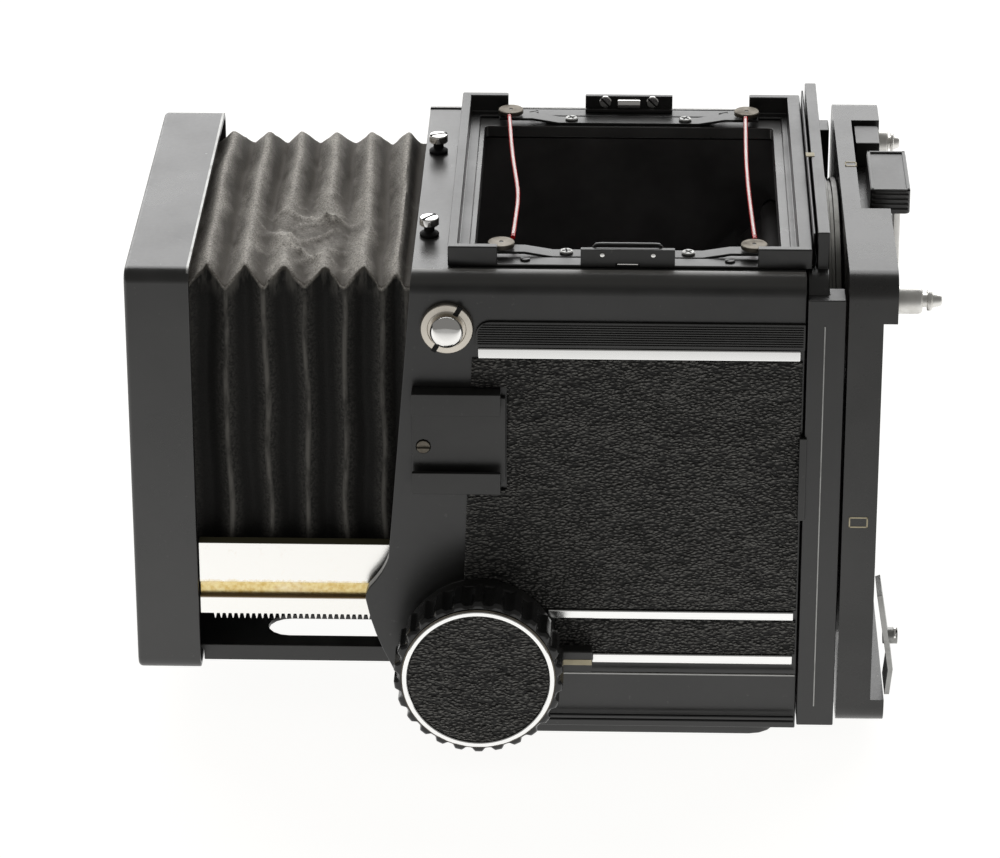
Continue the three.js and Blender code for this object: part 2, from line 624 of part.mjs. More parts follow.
/** Leatherette on a cover from a height up to the trim, cut round what stands in front of it. */
function leatherette(side, low, high) {
  const from = HALF_WIDTH + GLUE;
  const rear = BODY_LENGTH - SKIN_REAR_INSET;
  const front = SKIN_LEFT_FOOT;
  const corners = [[front, low], [rear, low], [rear, high], [SKIN_LEFT_TOP, high]];
  const past = HALF_WIDTH + SKIN_THICKNESS + 1;
  const skin = prism('y', outlineOf(corners), from, from + SKIN_THICKNESS)
    .subtract(rod('y', [SHAFT_X, SHAFT_Z], BOSS_RADIUS + GAP, HALF_WIDTH - 1, past, 32));
  if (side > 0) {
    return skin.subtract(rod('y', [LEVER_X, LEVER_HEIGHT], LEVER_HUB_RADIUS + GAP, HALF_WIDTH - 1, past, 20));
  }
  const shoeRear = SHOE_FRONT + SHOE_LENGTH + 1 + GAP;
  const shoeTop = SHOE_LOW + SHOE_HEIGHT + GAP;
  return otherSide(skin.subtract(block(0, shoeRear, HALF_WIDTH - 1, past, SHOE_LOW - GAP, shoeTop)));
}

/** The band of leatherette between the left cover's two lower trims. */
function lowerLeatherette() {
  const from = HALF_WIDTH + GLUE;
  const front = SHAFT_X + BOSS_RADIUS + GAP;
  return otherSide(block(front, BODY_LENGTH - SKIN_REAR_INSET, from, from + SKIN_THICKNESS,
    SKIN_LOW, MIDDLE_TRIM_LOW - GAP));
}

/** A bright strip laid on the left cover. */
function trim(front, low, height) {
  const from = HALF_WIDTH + GLUE;
  const rear = BODY_LENGTH - TRIM_REAR_INSET;
  return otherSide(block(front, rear, from, from + TRIM_THICKNESS, low, low + height));
}

/** A ribbed plate above the upper trim; it carries no lettering. */
function namePlate(side) {
  const from = HALF_WIDTH + GLUE;
  const low = UPPER_TRIM_LOW + UPPER_TRIM_HEIGHT + GLUE;
  const high = low + PLATE_HEIGHT;
  return onSide(side, block(PLATE_FRONT, BODY_LENGTH - GLUE, from, from + TRIM_THICKNESS, low, high));
}

/** A strap stud: a slotted collar, a neck and a domed head. */
function strapLug(side) {
  const from = HALF_WIDTH + GLUE;
  const collar = from + LUG_COLLAR_HEIGHT;
  const dome = [];
  for (let step = 0; step <= 3; step += 1) {
    const angle = (step / 3) * (Math.PI / 2);
    dome.push([LUG_DOME_RADIUS * Math.cos(angle), collar + 1.4 + 1.8 * Math.sin(angle)]);
  }
  const profile = [[0, from], [LUG_COLLAR_RADIUS, from], [LUG_COLLAR_RADIUS, collar],
    [LUG_NECK_RADIUS, collar], [LUG_NECK_RADIUS, collar + 0.7], ...dome];
  return onSide(side, turned('y', [LUG_X, LUG_HEIGHT], profile, 16));
}

/** The accessory shoe: a base with two folded rails. */
function accessoryShoe() {
  const from = HALF_WIDTH + GLUE;
  const rise = from + SHOE_RISE;
  const high = SHOE_LOW + SHOE_HEIGHT;
  const rails = outlineOf([
    [from, SHOE_LOW], [rise, SHOE_LOW], [rise, SHOE_LOW + SHOE_LIP],
    [rise - SHOE_SHEET, SHOE_LOW + SHOE_LIP], [rise - SHOE_SHEET, SHOE_LOW + SHOE_SHEET + 0.4],
    [from + SHOE_SHEET, SHOE_LOW + SHOE_SHEET + 0.4], [from + SHOE_SHEET, high - SHOE_SHEET - 0.4],
    [rise - SHOE_SHEET, high - SHOE_SHEET - 0.4], [rise - SHOE_SHEET, high - SHOE_LIP],
    [rise, high - SHOE_LIP], [rise, high], [from, high],
  ]);
  const screw = [SHOE_SCREW.x, SHOE_LOW + SHOE_SCREW.up];
  const shoe = prism('x', rails, SHOE_FRONT, SHOE_FRONT + SHOE_LENGTH)
    .add(block(SHOE_FRONT, SHOE_FRONT + SHOE_LENGTH + 1, from, from + SHOE_SHEET, SHOE_LOW + 2, high - 2))
    .subtract(rod('y', screw, SHOE_SCREW.radius + GLUE, from - 1, from + 3, 12));
  return otherSide(shoe);
}

/** The slotted screw in the shoe's base. */
function shoeScrew() {
  const from = HALF_WIDTH + GLUE;
  const top = from + SHOE_SHEET + 0.4;
  const { x, up, radius } = SHOE_SCREW;
  const z = SHOE_LOW + up;
  const screw = rod('y', [x, z], radius, from, top, 12)
    .subtract(block(x - 3, x + 3, top - 0.5, top + 1, z - 0.3, z + 0.3));
  return otherSide(screw);
}

// ---------------------------------------------------------------- finder seat

/** The open frame that a finder drops into: a base strip with front, rear and corner walls. */
function finderFrame() {
  const low = DECK_TOP + GLUE;
  const baseTop = low + SEAT_BASE;
  const top = DECK_TOP + SEAT_RISE;
  const half = SEAT_HALF_WIDTH;
  const rear = BODY_LENGTH + SEAT_REAR_PAST;
  const inner = half - SEAT_BASE_WIDTH;
  let seat = block(SEAT_FRONT, rear, -half, half, low, baseTop)
    .subtract(block(SEAT_FRONT + SEAT_BASE_WIDTH, rear - SEAT_BASE_WIDTH, -inner, inner,
      low - 1, baseTop + 1))
    .add(block(SEAT_FRONT, SEAT_FRONT + SEAT_FRONT_WALL, -half, half, low, top))
    .add(block(rear - SEAT_REAR_WALL, rear, -half, half, low, top));
  for (const side of [-1, 1]) {
    const walls = block(SEAT_FRONT, SEAT_FRONT + SEAT_CORNER, half - SEAT_SIDE_WALL, half, low, top)
      .add(block(rear - SEAT_CORNER - 1, rear, half - SEAT_SIDE_WALL, half, low, top));
    seat = seat.add(onSide(side, walls));
  }
  return seat;
}

/** A catch on the finder frame's base strip, with its lip towards the well. */
function finderCatch(side) {
  const low = DECK_TOP + GLUE + SEAT_BASE + GLUE;
  const top = DECK_TOP + CATCH_RISE;
  const out = SEAT_HALF_WIDTH;
  const wall = out - SEAT_SIDE_WALL + 0.4;
  const section = outlineOf([[out, low], [out, top], [wall - CATCH_LIP, top], [wall - CATCH_LIP, top - 0.8],
    [wall, top - 0.8], [wall, low]]);
  return onSide(side, prism('x', section, CATCH_FRONT, CATCH_FRONT + CATCH_LENGTH));
}

/** A waisted, slotted screw that stands up from the deck. */
function deckScrew(y) {
  const low = DECK_TOP + GLUE;
  const top = DECK_TOP + DECK_SCREW_RISE;
  const head = DECK_SCREW_HEAD;
  const profile = [[0, low], [head, low], [head, low + 0.7], [head * 0.55, low + 1.1],
    [head * 0.55, top - 2], [head, top - 1.7], [head, top - 0.3], [head - 0.3, top], [0, top]];
  return turned('z', [DECK_SCREW_X, y], profile, 12)
    .subtract(block(DECK_SCREW_X - 0.3, DECK_SCREW_X + 0.3, y - 3, y + 3, top - 0.6, top + 1));
}

/** A flat bar beside the well whose raised ends carry two discs. */
function leafBar(side) {
  const low = DECK_TOP + GLUE;
  const sheet = LEAF_THICKNESS;
  const raised = low + LEAF_RISE;
  const stops = [FRONT_DISC_X - 2.6, FRONT_DISC_X + 5, FRONT_DISC_X + 11,
    REAR_DISC_X - 11, REAR_DISC_X - 5, REAR_DISC_X + 2.6];
  const levels = [raised, raised, low, low, raised, raised];
  const under = stops.map((x, i) => [x, levels[i]]);
  const over = stops.map((x, i) => [x, levels[i] + sheet]).reverse();
  const half = LEAF_WIDTH / 2;
  const outside = Math.min(LEAF_Y + half, SEAT_HALF_WIDTH - SEAT_BASE_WIDTH - GAP);
  return onSide(side, prism('y', outlineOf([...under, ...over]), LEAF_Y - half, outside));
}

/** A disc that carries one end of a format line. */
function formatDisc(x, side) {
  return rod('z', [x, side * LEAF_Y], DISC_RADIUS, DISC_LOW, DISC_LOW + DISC_THICKNESS, 20);
}

/** A slightly bowed line across the well, between the discs' inner edges. */
function formatLine(stops) {
  const height = DISC_LOW + DISC_THICKNESS / 2;
  const reach = LEAF_Y - DISC_RADIUS - 2 * GAP;
  const step = (2 * reach) / (stops.length - 1);
  const bend = stops.map((x, i) => new THREE.Vector3(x, step * i - reach, height));
  const section = new THREE.Shape();
  section.absarc(0, 0, LINE_DIAMETER / 2, 0, 2 * Math.PI, false);
  const path = new THREE.CatmullRomCurve3(bend);
  const options = { steps: 12, bevelEnabled: false, curveSegments: 4, extrudePath: path };
  return toSolid(new THREE.ExtrudeGeometry(section, options), new THREE.Matrix4());
}

// ---------------------------------------------------------------- front standard

/** The moving front: a shallow shell, open behind, that the bellows folds into. */
function frontStandard() {
  const half = STANDARD_HALF_WIDTH;
  const inner = half - STANDARD_WALL;
  const low = STANDARD_BOTTOM + STANDARD_WALL;
  const outside = roundedRectangle(-half, half, STANDARD_BOTTOM, STANDARD_TOP, STANDARD_RADIUS);
  const inside = roundedRectangle(-inner, inner, low, STANDARD_TOP - STANDARD_WALL, STANDARD_RADIUS - 1);
  const face = STANDARD_FRONT + STANDARD_FACE;
  const ledge = SLIDE_PLATE_LOW - GLUE;
  return prism('x', outside, STANDARD_FRONT, STANDARD_REAR)
    .subtract(prism('x', inside, face, STANDARD_REAR + 1))
    .subtract(rod('x', [0, AXIS_HEIGHT], MOUNT_OUTER_RADIUS + GLUE, STANDARD_FRONT - 1, face + 1, 40))
    .add(block(face - 0.5, STANDARD_REAR - 2, -30, 30, low - 0.5, ledge));
}

/** The lens mount: a flat ring whose bore has notches for a lens's lugs. */
function lensMountRing() {
  const rear = STANDARD_FRONT + MOUNT_THICKNESS;
  let mount = ring('x', [0, AXIS_HEIGHT], MOUNT_OUTER_RADIUS, MOUNT_BORE_RADIUS, STANDARD_FRONT, rear, 40);
  for (let notch = 0; notch < MOUNT_NOTCHES; notch += 1) {
    const angle = (notch * 360) / MOUNT_NOTCHES;
    const cut = block(STANDARD_FRONT - 1, rear + 1, -6, 6, MOUNT_BORE_RADIUS - 4, MOUNT_BORE_RADIUS + 2.2)
      .rotate([angle, 0, 0])
      .translate([0, 0, AXIS_HEIGHT]);
    mount = mount.subtract(cut);
  }
  return mount;
}

/** The ring behind the mount whose two dogs wind a lens's shutter. */
function cockingRing() {
  const front = STANDARD_FRONT + MOUNT_THICKNESS + GAP + GLUE;
  const rear = front + COCKING_RING_THICKNESS;
  const bore = MOUNT_BORE_RADIUS;
  let made = ring('x', [0, AXIS_HEIGHT], COCKING_RING_OUTER, bore, front, rear, 32);
  for (const angle of [135, 225]) {
    const dog = block(STANDARD_FRONT + 1, rear, -2, 2, bore - 3.5, bore - 1)
      .add(block(front, rear, -2, 2, bore - 3.5, bore + 1.5))
      .rotate([angle, 0, 0])
      .translate([0, 0, AXIS_HEIGHT]);
    made = made.add(dog);
  }
  return made;
}

/** Side view of the rack: a strip with teeth that point down. */
function rackOutline(front, rear) {
  const half = (TOOTH_SHARE * RACK_PITCH) / 2;
  const slope = 0.12;
  const root = RACK_TIP + RACK_DEPTH;
  const first = Math.ceil((front + 3 - SHAFT_X) / RACK_PITCH);
  const last = Math.floor((rear - 1 - SHAFT_X) / RACK_PITCH);
  const corners = [[rear, RAIL_GROOVE_LOW], [front, RAIL_GROOVE_LOW], [front, root]];
  for (let tooth = first; tooth <= last; tooth += 1) {
    const x = SHAFT_X + tooth * RACK_PITCH;
    corners.push([x - half - slope, root], [x - half + slope, RACK_TIP]);
    corners.push([x + half - slope, RACK_TIP], [x + half + slope, root]);
  }
  corners.push([rear, root]);
  return outlineOf(corners);
}

/** A focusing rail: a grooved bar with the rack along its foot. */
function rail(side) {
  const front = STANDARD_REAR + GAP;
  const rear = RAIL_TAIL;
  const floor = RAIL_OUTSIDE - RAIL_GROOVE_DEPTH;
  const bar = outlineOf([
    [RAIL_INSIDE, RAIL_TOP], [RAIL_INSIDE, RAIL_GROOVE_LOW - 1], [floor, RAIL_GROOVE_LOW - 1],
    [floor, RAIL_GROOVE_TOP], [RAIL_OUTSIDE, RAIL_GROOVE_TOP], [RAIL_OUTSIDE, RAIL_TOP],
  ]);
  const rack = prism('y', rackOutline(front, rear), RAIL_INSIDE, RAIL_OUTSIDE);
  return onSide(side, prism('x', bar, front, rear).add(rack));
}

/** The flanged plate under the bellows, slotted along both sides. */
function slidePlate() {
  const front = STANDARD_FRONT + STANDARD_FACE + GAP;
  const flangeFront = STANDARD_REAR + GAP;
  const rear = RAIL_TAIL;
  const half = SLIDE_PLATE_HALF_WIDTH;
  const top = SLIDE_PLATE_LOW + SLIDE_PLATE_THICKNESS;
  let plate = block(front, rear, -half, half, SLIDE_PLATE_LOW, top);
  for (const side of [-1, 1]) {
    const out = half - SLIDE_PLATE_SLOT_INSET;
    const slot = roundedRectangle(STANDARD_REAR + 14, rear - 14, out - SLIDE_PLATE_SLOT_WIDTH, out, 4.9);
    const flange = block(flangeFront, rear, half - 1.2, half, SLIDE_PLATE_LOW - SLIDE_PLATE_FLANGE,
      SLIDE_PLATE_LOW + 0.5);
    plate = plate
      .subtract(onSide(side, prism('z', slot, SLIDE_PLATE_LOW - 1, top + 1)))
      .add(onSide(side, flange));
  }
  return plate;
}

/** Pleated cloth between the standard and the front frame, open at both ends. */
function bellows() {
  const front = STANDARD_FRONT + MOUNT_THICKNESS + COCKING_RING_THICKNESS + 2 * GAP;
  const rear = -GAP;
  const pitch = (rear - front) / BELLOWS_PLEATS;
  const outer = BELLOWS_HALF_WIDTH;
  const inner = outer - BELLOWS_FOLD - BELLOWS_CLOTH;
  const corner = Math.SQRT2;
  const profile = [];
  for (let pleat = 0; pleat <= BELLOWS_PLEATS; pleat += 1) {
    profile.push([(outer - BELLOWS_FOLD) * corner, front + pleat * pitch]);
    if (pleat < BELLOWS_PLEATS) {
      profile.push([outer * corner, front + (pleat + 0.5) * pitch]);
    }
  }
  profile.push([inner * corner, rear], [inner * corner, front], profile[0]);
  const stretch = (BELLOWS_HIGH - BELLOWS_LOW) / (2 * outer);
  return turned('x', [0, 0], profile, 4)
    .rotate([45, 0, 0])
    .scale([1, 1, stretch])
    .translate([0, 0, (BELLOWS_LOW + BELLOWS_HIGH) / 2]);
}

// ---------------------------------------------------------------- focus drive

/** Side view of a pinion with a tooth gap at its top. */
function pinionOutline() {
  const tip = PITCH_RADIUS + PINION_ADDENDUM;
  const root = PITCH_RADIUS - PINION_DEDENDUM;
  const step = (2 * Math.PI) / PINION_TEETH;
  const corners = [];
  for (let tooth = 0; tooth < PINION_TEETH; tooth += 1) {
    const middle = Math.PI / 2 + (tooth + 0.5) * step;
    const wide = step * (TOOTH_SHARE / 2 + 0.08);
    const narrow = step * (TOOTH_SHARE / 2 - 0.06);
    for (const [radius, turn] of [[root, -wide], [tip, -narrow], [tip, narrow], [root, wide]]) {
      corners.push([
        SHAFT_X + radius * Math.cos(middle + turn),
        SHAFT_Z + radius * Math.sin(middle + turn),
      ]);
    }
  }
  return outlineOf(corners);
}

/** The cross shaft with a pinion under each rack. */
function pinionShaft() {
  const end = KNOB_FACE - 5;
  const pinion = prism('y', pinionOutline(), RAIL_INSIDE, RAIL_OUTSIDE);
  return rod('y', [SHAFT_X, SHAFT_Z], SHAFT_RADIUS, -end, end)
    .add(pinion)
    .add(otherSide(pinion));
}

/** Face view of a knob with scallops round its edge. */
function knobOutline() {
  const corners = [];
  const stops = [[0, 1], [0.25, 1], [0.5, 0], [0.75, 0]];
  for (let scallop = 0; scallop < KNOB_SCALLOPS; scallop += 1) {
    for (const [share, height] of stops) {
      const angle = ((scallop + share) / KNOB_SCALLOPS) * 2 * Math.PI;
      const radius = KNOB_RADIUS - KNOB_SCALLOP_DEPTH * (1 - height);
      corners.push([SHAFT_X + radius * Math.cos(angle), SHAFT_Z + radius * Math.sin(angle)]);
    }
  }
  return outlineOf(corners);
}

/** A focus knob, bored for the shaft. */
function knob(side) {
  const face = side > 0 ? KNOB_FACE : KNOB_FACE - KNOB_FACE_STEP;
  const shaft = [SHAFT_X, SHAFT_Z];
  const made = prism('y', knobOutline(), KNOB_BACK, face)
    .subtract(rod('y', shaft, SHAFT_RADIUS + GLUE, KNOB_BACK - 1, KNOB_FACE - 5 + GAP));
  return onSide(side, made);
}

/** The bright ring on the left knob's face. */
function knobRing() {
  const inner = KNOB_RING_OUTER - KNOB_RING_WIDTH;
  const from = KNOB_FACE - KNOB_FACE_STEP + GLUE;
  return otherSide(ring('y', [SHAFT_X, SHAFT_Z], KNOB_RING_OUTER, inner, from, KNOB_FACE));
}

/** The leatherette disc inside the ring. */
function knobInlay() {
  const radius = KNOB_RING_OUTER - KNOB_RING_WIDTH - GLUE;
  const from = KNOB_FACE - KNOB_FACE_STEP + GLUE;
  return otherSide(rod('y', [SHAFT_X, SHAFT_Z], radius, from, KNOB_FACE - GLUE, 36));
}

/** The focus lock: a ring behind the left knob with a tab that points back. */
function focusLockLever() {
  const from = HALF_WIDTH + BOSS_HEIGHT + GAP;
  const to = from + LOCK_THICKNESS;
  const shaft = [SHAFT_X, SHAFT_Z];
  const half = LOCK_TAB_HEIGHT / 2;
  const low = SHAFT_Z - 1.4 - half;
  const lever = rod('y', shaft, LOCK_RING_RADIUS, from, to, 32)
    .add(block(SHAFT_X + 10, SHAFT_X + LOCK_TAB_REACH, from, to, low, low + 2 * half))
    .subtract(rod('y', shaft, LOCK_RING_BORE, from - 1, to + 1, 20));
  return otherSide(lever);
}

// ---------------------------------------------------------------- mirror work

/** A flat piece that lies along the mirror at rest: distances run down it from the hinge. */
function alongMirror(from, to, half, below, above) {
  return block(-to, -from, -half, half, below, above)
    .rotate([0, -45, 0])
    .translate([MIRROR_HINGE_X, 0, MIRROR_HINGE_Z]);
}

/** The carrier plate behind the glass, hung on its hub. */
function mirrorCarrier() {
  const hinge = [MIRROR_HINGE_X, MIRROR_HINGE_Z];
  const end = MIRROR_CLEAR + MIRROR_LENGTH + 1;
  return alongMirror(0, end, MIRROR_HALF_WIDTH, -MIRROR_CARRIER / 2, MIRROR_CARRIER / 2)
    .add(rod('y', hinge, MIRROR_HUB_RADIUS, -MIRROR_HALF_WIDTH, MIRROR_HALF_WIDTH, 12))
    .subtract(rod('y', hinge, MIRROR_PIN_RADIUS + GLUE, -MIRROR_HALF_WIDTH - 1, MIRROR_HALF_WIDTH + 1, 12));
}

/** The front-silvered glass. */
function mirrorGlass() {
  const low = MIRROR_CARRIER / 2 + GAP;
  const end = MIRROR_CLEAR + MIRROR_LENGTH;
  return alongMirror(MIRROR_CLEAR, end, MIRROR_HALF_WIDTH - 1, low, low + MIRROR_GLASS);
}

/** The mirror's pin, held in the box's two side walls. */
function mirrorPin() {
  const end = LIGHT_HALF_WIDTH + BOX_WALL - GAP;
  return rod('y', [MIRROR_HINGE_X, MIRROR_HINGE_Z], MIRROR_PIN_RADIUS, -end, end, 12);
}

/** The flap that keeps light off the film while the mirror is down. */
function rearBaffle() {
  const half = LIGHT_HALF_WIDTH - 2 * GAP;
  const end = LIGHT_HALF_WIDTH + BOX_WALL - GAP;
  const sheet = BAFFLE_THICKNESS / 2;
  return block(BAFFLE_HINGE_X - sheet, BAFFLE_HINGE_X + sheet, -half, half,
    BOX_FLOOR + BOX_WALL + BAFFLE_FLOOR_GAP, BAFFLE_HINGE_Z)
    .add(rod('y', [BAFFLE_HINGE_X, BAFFLE_HINGE_Z], BAFFLE_PIN_RADIUS, -end, end, 12));
}

// ---------------------------------------------------------------- revolving back

/** The round tongue that turns in front of the square adapter. */
function revolvingRing() {
  const rear = RING_FRONT + RING_THICKNESS;
  return ring('x', [0, AXIS_HEIGHT], RING_RADIUS, REAR_BORE_RADIUS, RING_FRONT, rear, 48);
}

/** The square adapter with its film window, rims and the recess for the lock slide. */
function revolvingAdapter() {
  const half = HALF_BACK;
  const square = roundedRectangle(-half, half, ADAPTER_BOTTOM, ADAPTER_TOP, ADAPTER_RADIUS);
  const wide = LIGHT_HALF_WIDTH;
  const high = ADAPTER_WINDOW_HEIGHT / 2;
  const window = roundedRectangle(-wide, wide, AXIS_HEIGHT - high, AXIS_HEIGHT + high, 2);
  const behind = block(ADAPTER_REAR, RIM_REAR + 1, -half - 1, half + 1,
    ADAPTER_BOTTOM + BOTTOM_RIM_HEIGHT, ADAPTER_TOP - TOP_RIM_HEIGHT);
  const pins = [-PIN_Y, PIN_Y].map((y) => rod('x', [y, PIN_Z], PIN_RADIUS + RUNNING,
    ADAPTER_REAR - 4, RIM_REAR + 1));
  return prism('x', square, ADAPTER_FRONT, RIM_REAR)
    .subtract(behind)
    .subtract(prism('x', window, ADAPTER_FRONT - 1, RIM_REAR + 1))
    .subtract(block(ADAPTER_REAR - RECESS_FRONT, RIM_REAR + 1, RECESS_LEFT, PIN_Y - RECESS_TO_PIN,
      ADAPTER_TOP - RECESS_DEPTH, ADAPTER_TOP + 1))
    .subtract(pins[0])
    .subtract(pins[1]);
}

/** The slide that locks a film holder: a block in the recess with a strip down the back. */
function adapterLock() {
  const front = ADAPTER_REAR - 0.8;
  const rear = ADAPTER_REAR + LOCK_BLOCK_REACH;
  const top = ADAPTER_TOP - GLUE;
  const low = top - LOCK_BLOCK_HEIGHT;
  const right = LOCK_BLOCK_LEFT + LOCK_BLOCK_LENGTH;
  const plan = roundedRectangle(front, rear, LOCK_BLOCK_LEFT, right, 1.2);
  const strip = RIM_REAR + 1.4;
  return prism('z', plan, low, top, 3)
    .add(block(strip, strip + 1.6, LOCK_BLOCK_LEFT + 1.5, LOCK_BLOCK_LEFT + 7,
      low - LOCK_STRIP_DROP, low + 1));
}

/** A sprung pin that tells a film holder how the back stands. */
function interlockPin(side, reach) {
  const at = [side * PIN_Y, PIN_Z];
  const start = ADAPTER_REAR + 0.6;
  const shoulder = ADAPTER_REAR + reach * 0.675;
  const tip = ADAPTER_REAR + reach;
  const radius = PIN_RADIUS;
  const neck = radius * 0.5;
  const collar = radius * 0.77;
  const collarFrom = shoulder + reach * 0.07;
  const collarTo = shoulder + reach * 0.13;
  const profile = [
    [0, start], [radius, start], [radius, shoulder - PIN_CHAMFER], [radius - PIN_CHAMFER, shoulder],
    [neck, shoulder], [neck, collarFrom], [collar, collarFrom], [collar, collarTo],
    [radius * 0.55, shoulder + reach * 0.15], [radius * 0.42, tip - 0.6], [radius * 0.25, tip], [0, tip],
  ];
  return turned('x', at, profile, 12);
}

/** The thin latch low on the back, hinged at its foot. */
function lowerLatch() {
  const foot = ADAPTER_BOTTOM + BOTTOM_RIM_HEIGHT + GAP + 0.4;
  const sheet = LATCH_SHEET;
  const near = ADAPTER_REAR + 0.8;
  const far = ADAPTER_REAR + 3.7;
  const side = outlineOf([[far - 0.6, foot], [far, foot + 6], [near, foot + 24], [near + sheet, foot + 24.4],
    [far + sheet, foot + 6.2], [far + sheet - 0.6, foot]]);
  const middle = [LATCH_LEFT + LATCH_WIDTH / 2, foot + 12];
  const rivet = rod('x', middle, 1.8, ADAPTER_REAR + 2.6, ADAPTER_REAR + 5.8, 12);
  return prism('y', side, LATCH_LEFT, LATCH_LEFT + LATCH_WIDTH).add(rivet);
}

// ---------------------------------------------------------------- right side and release

/** The cocking lever on the right cover: a hub, its stub shaft, an arm and a finger pad. */
function cockingLever() {
  const from = HALF_WIDTH + GLUE + SKIN_THICKNESS + GAP;
  const to = from + LEVER_SHEET + 1.2;
  const armFrom = to - LEVER_SHEET;
  const arm = outlineOf([[0, -5.5], [LEVER_LENGTH - 4, -4], [LEVER_LENGTH, -2.4], [LEVER_LENGTH, 2.4],
    [LEVER_LENGTH - 4, 4], [0, 5.5]]);
  const lever = prism('y', arm, armFrom, to)
    .add(block(LEVER_LENGTH - 9, LEVER_LENGTH, to - 1, to + LEVER_PAD, -4, -2))
    .add(rod('y', [0, 0], LEVER_HUB_RADIUS, from, to, 20))
    .add(rod('y', [0, 0], SHAFT_RADIUS, INSIDE_COVER - 2.5, to));
  return lever.rotate([0, -LEVER_REST_DEG, 0]).translate([LEVER_X, 0, LEVER_HEIGHT]);
}

/** The shutter release: a button on a stem through the front frame. */
function releaseButton() {
  const front = -RELEASE_TRAVEL - 2.6;
  const back = front + 2.2;
  const profile = [[0, front], [RELEASE_RADIUS - 0.5, front], [RELEASE_RADIUS, front + 0.5],
    [RELEASE_RADIUS, back], [RELEASE_STEM_RADIUS, back], [RELEASE_STEM_RADIUS, 6], [0, 6]];
  return turned('x', [RELEASE_Y, RELEASE_HEIGHT], profile, 16);
}

/** The collar round the release that turns to lock it, with a finger tab. */
function releaseCollar() {
  const centre = [RELEASE_Y, RELEASE_HEIGHT];
  const front = -COLLAR_DEPTH - GAP;
  return ring('x', centre, COLLAR_RADIUS, RELEASE_RADIUS + RUNNING, front, -GAP, 20)
    .add(block(front, -GAP, RELEASE_Y + COLLAR_RADIUS - 0.6, RELEASE_Y + COLLAR_RADIUS + 2,
      RELEASE_HEIGHT - 0.8, RELEASE_HEIGHT + 0.8));
}

// ---------------------------------------------------------------- the camera

const leftBow = [0, 0.5, -1.4, -2.7].map((shift) => FRONT_DISC_X + LINE_OFFSET + shift);
const rightBow = [0.2, -0.5, -0.7, -0.3].map((shift) => REAR_DISC_X + shift);

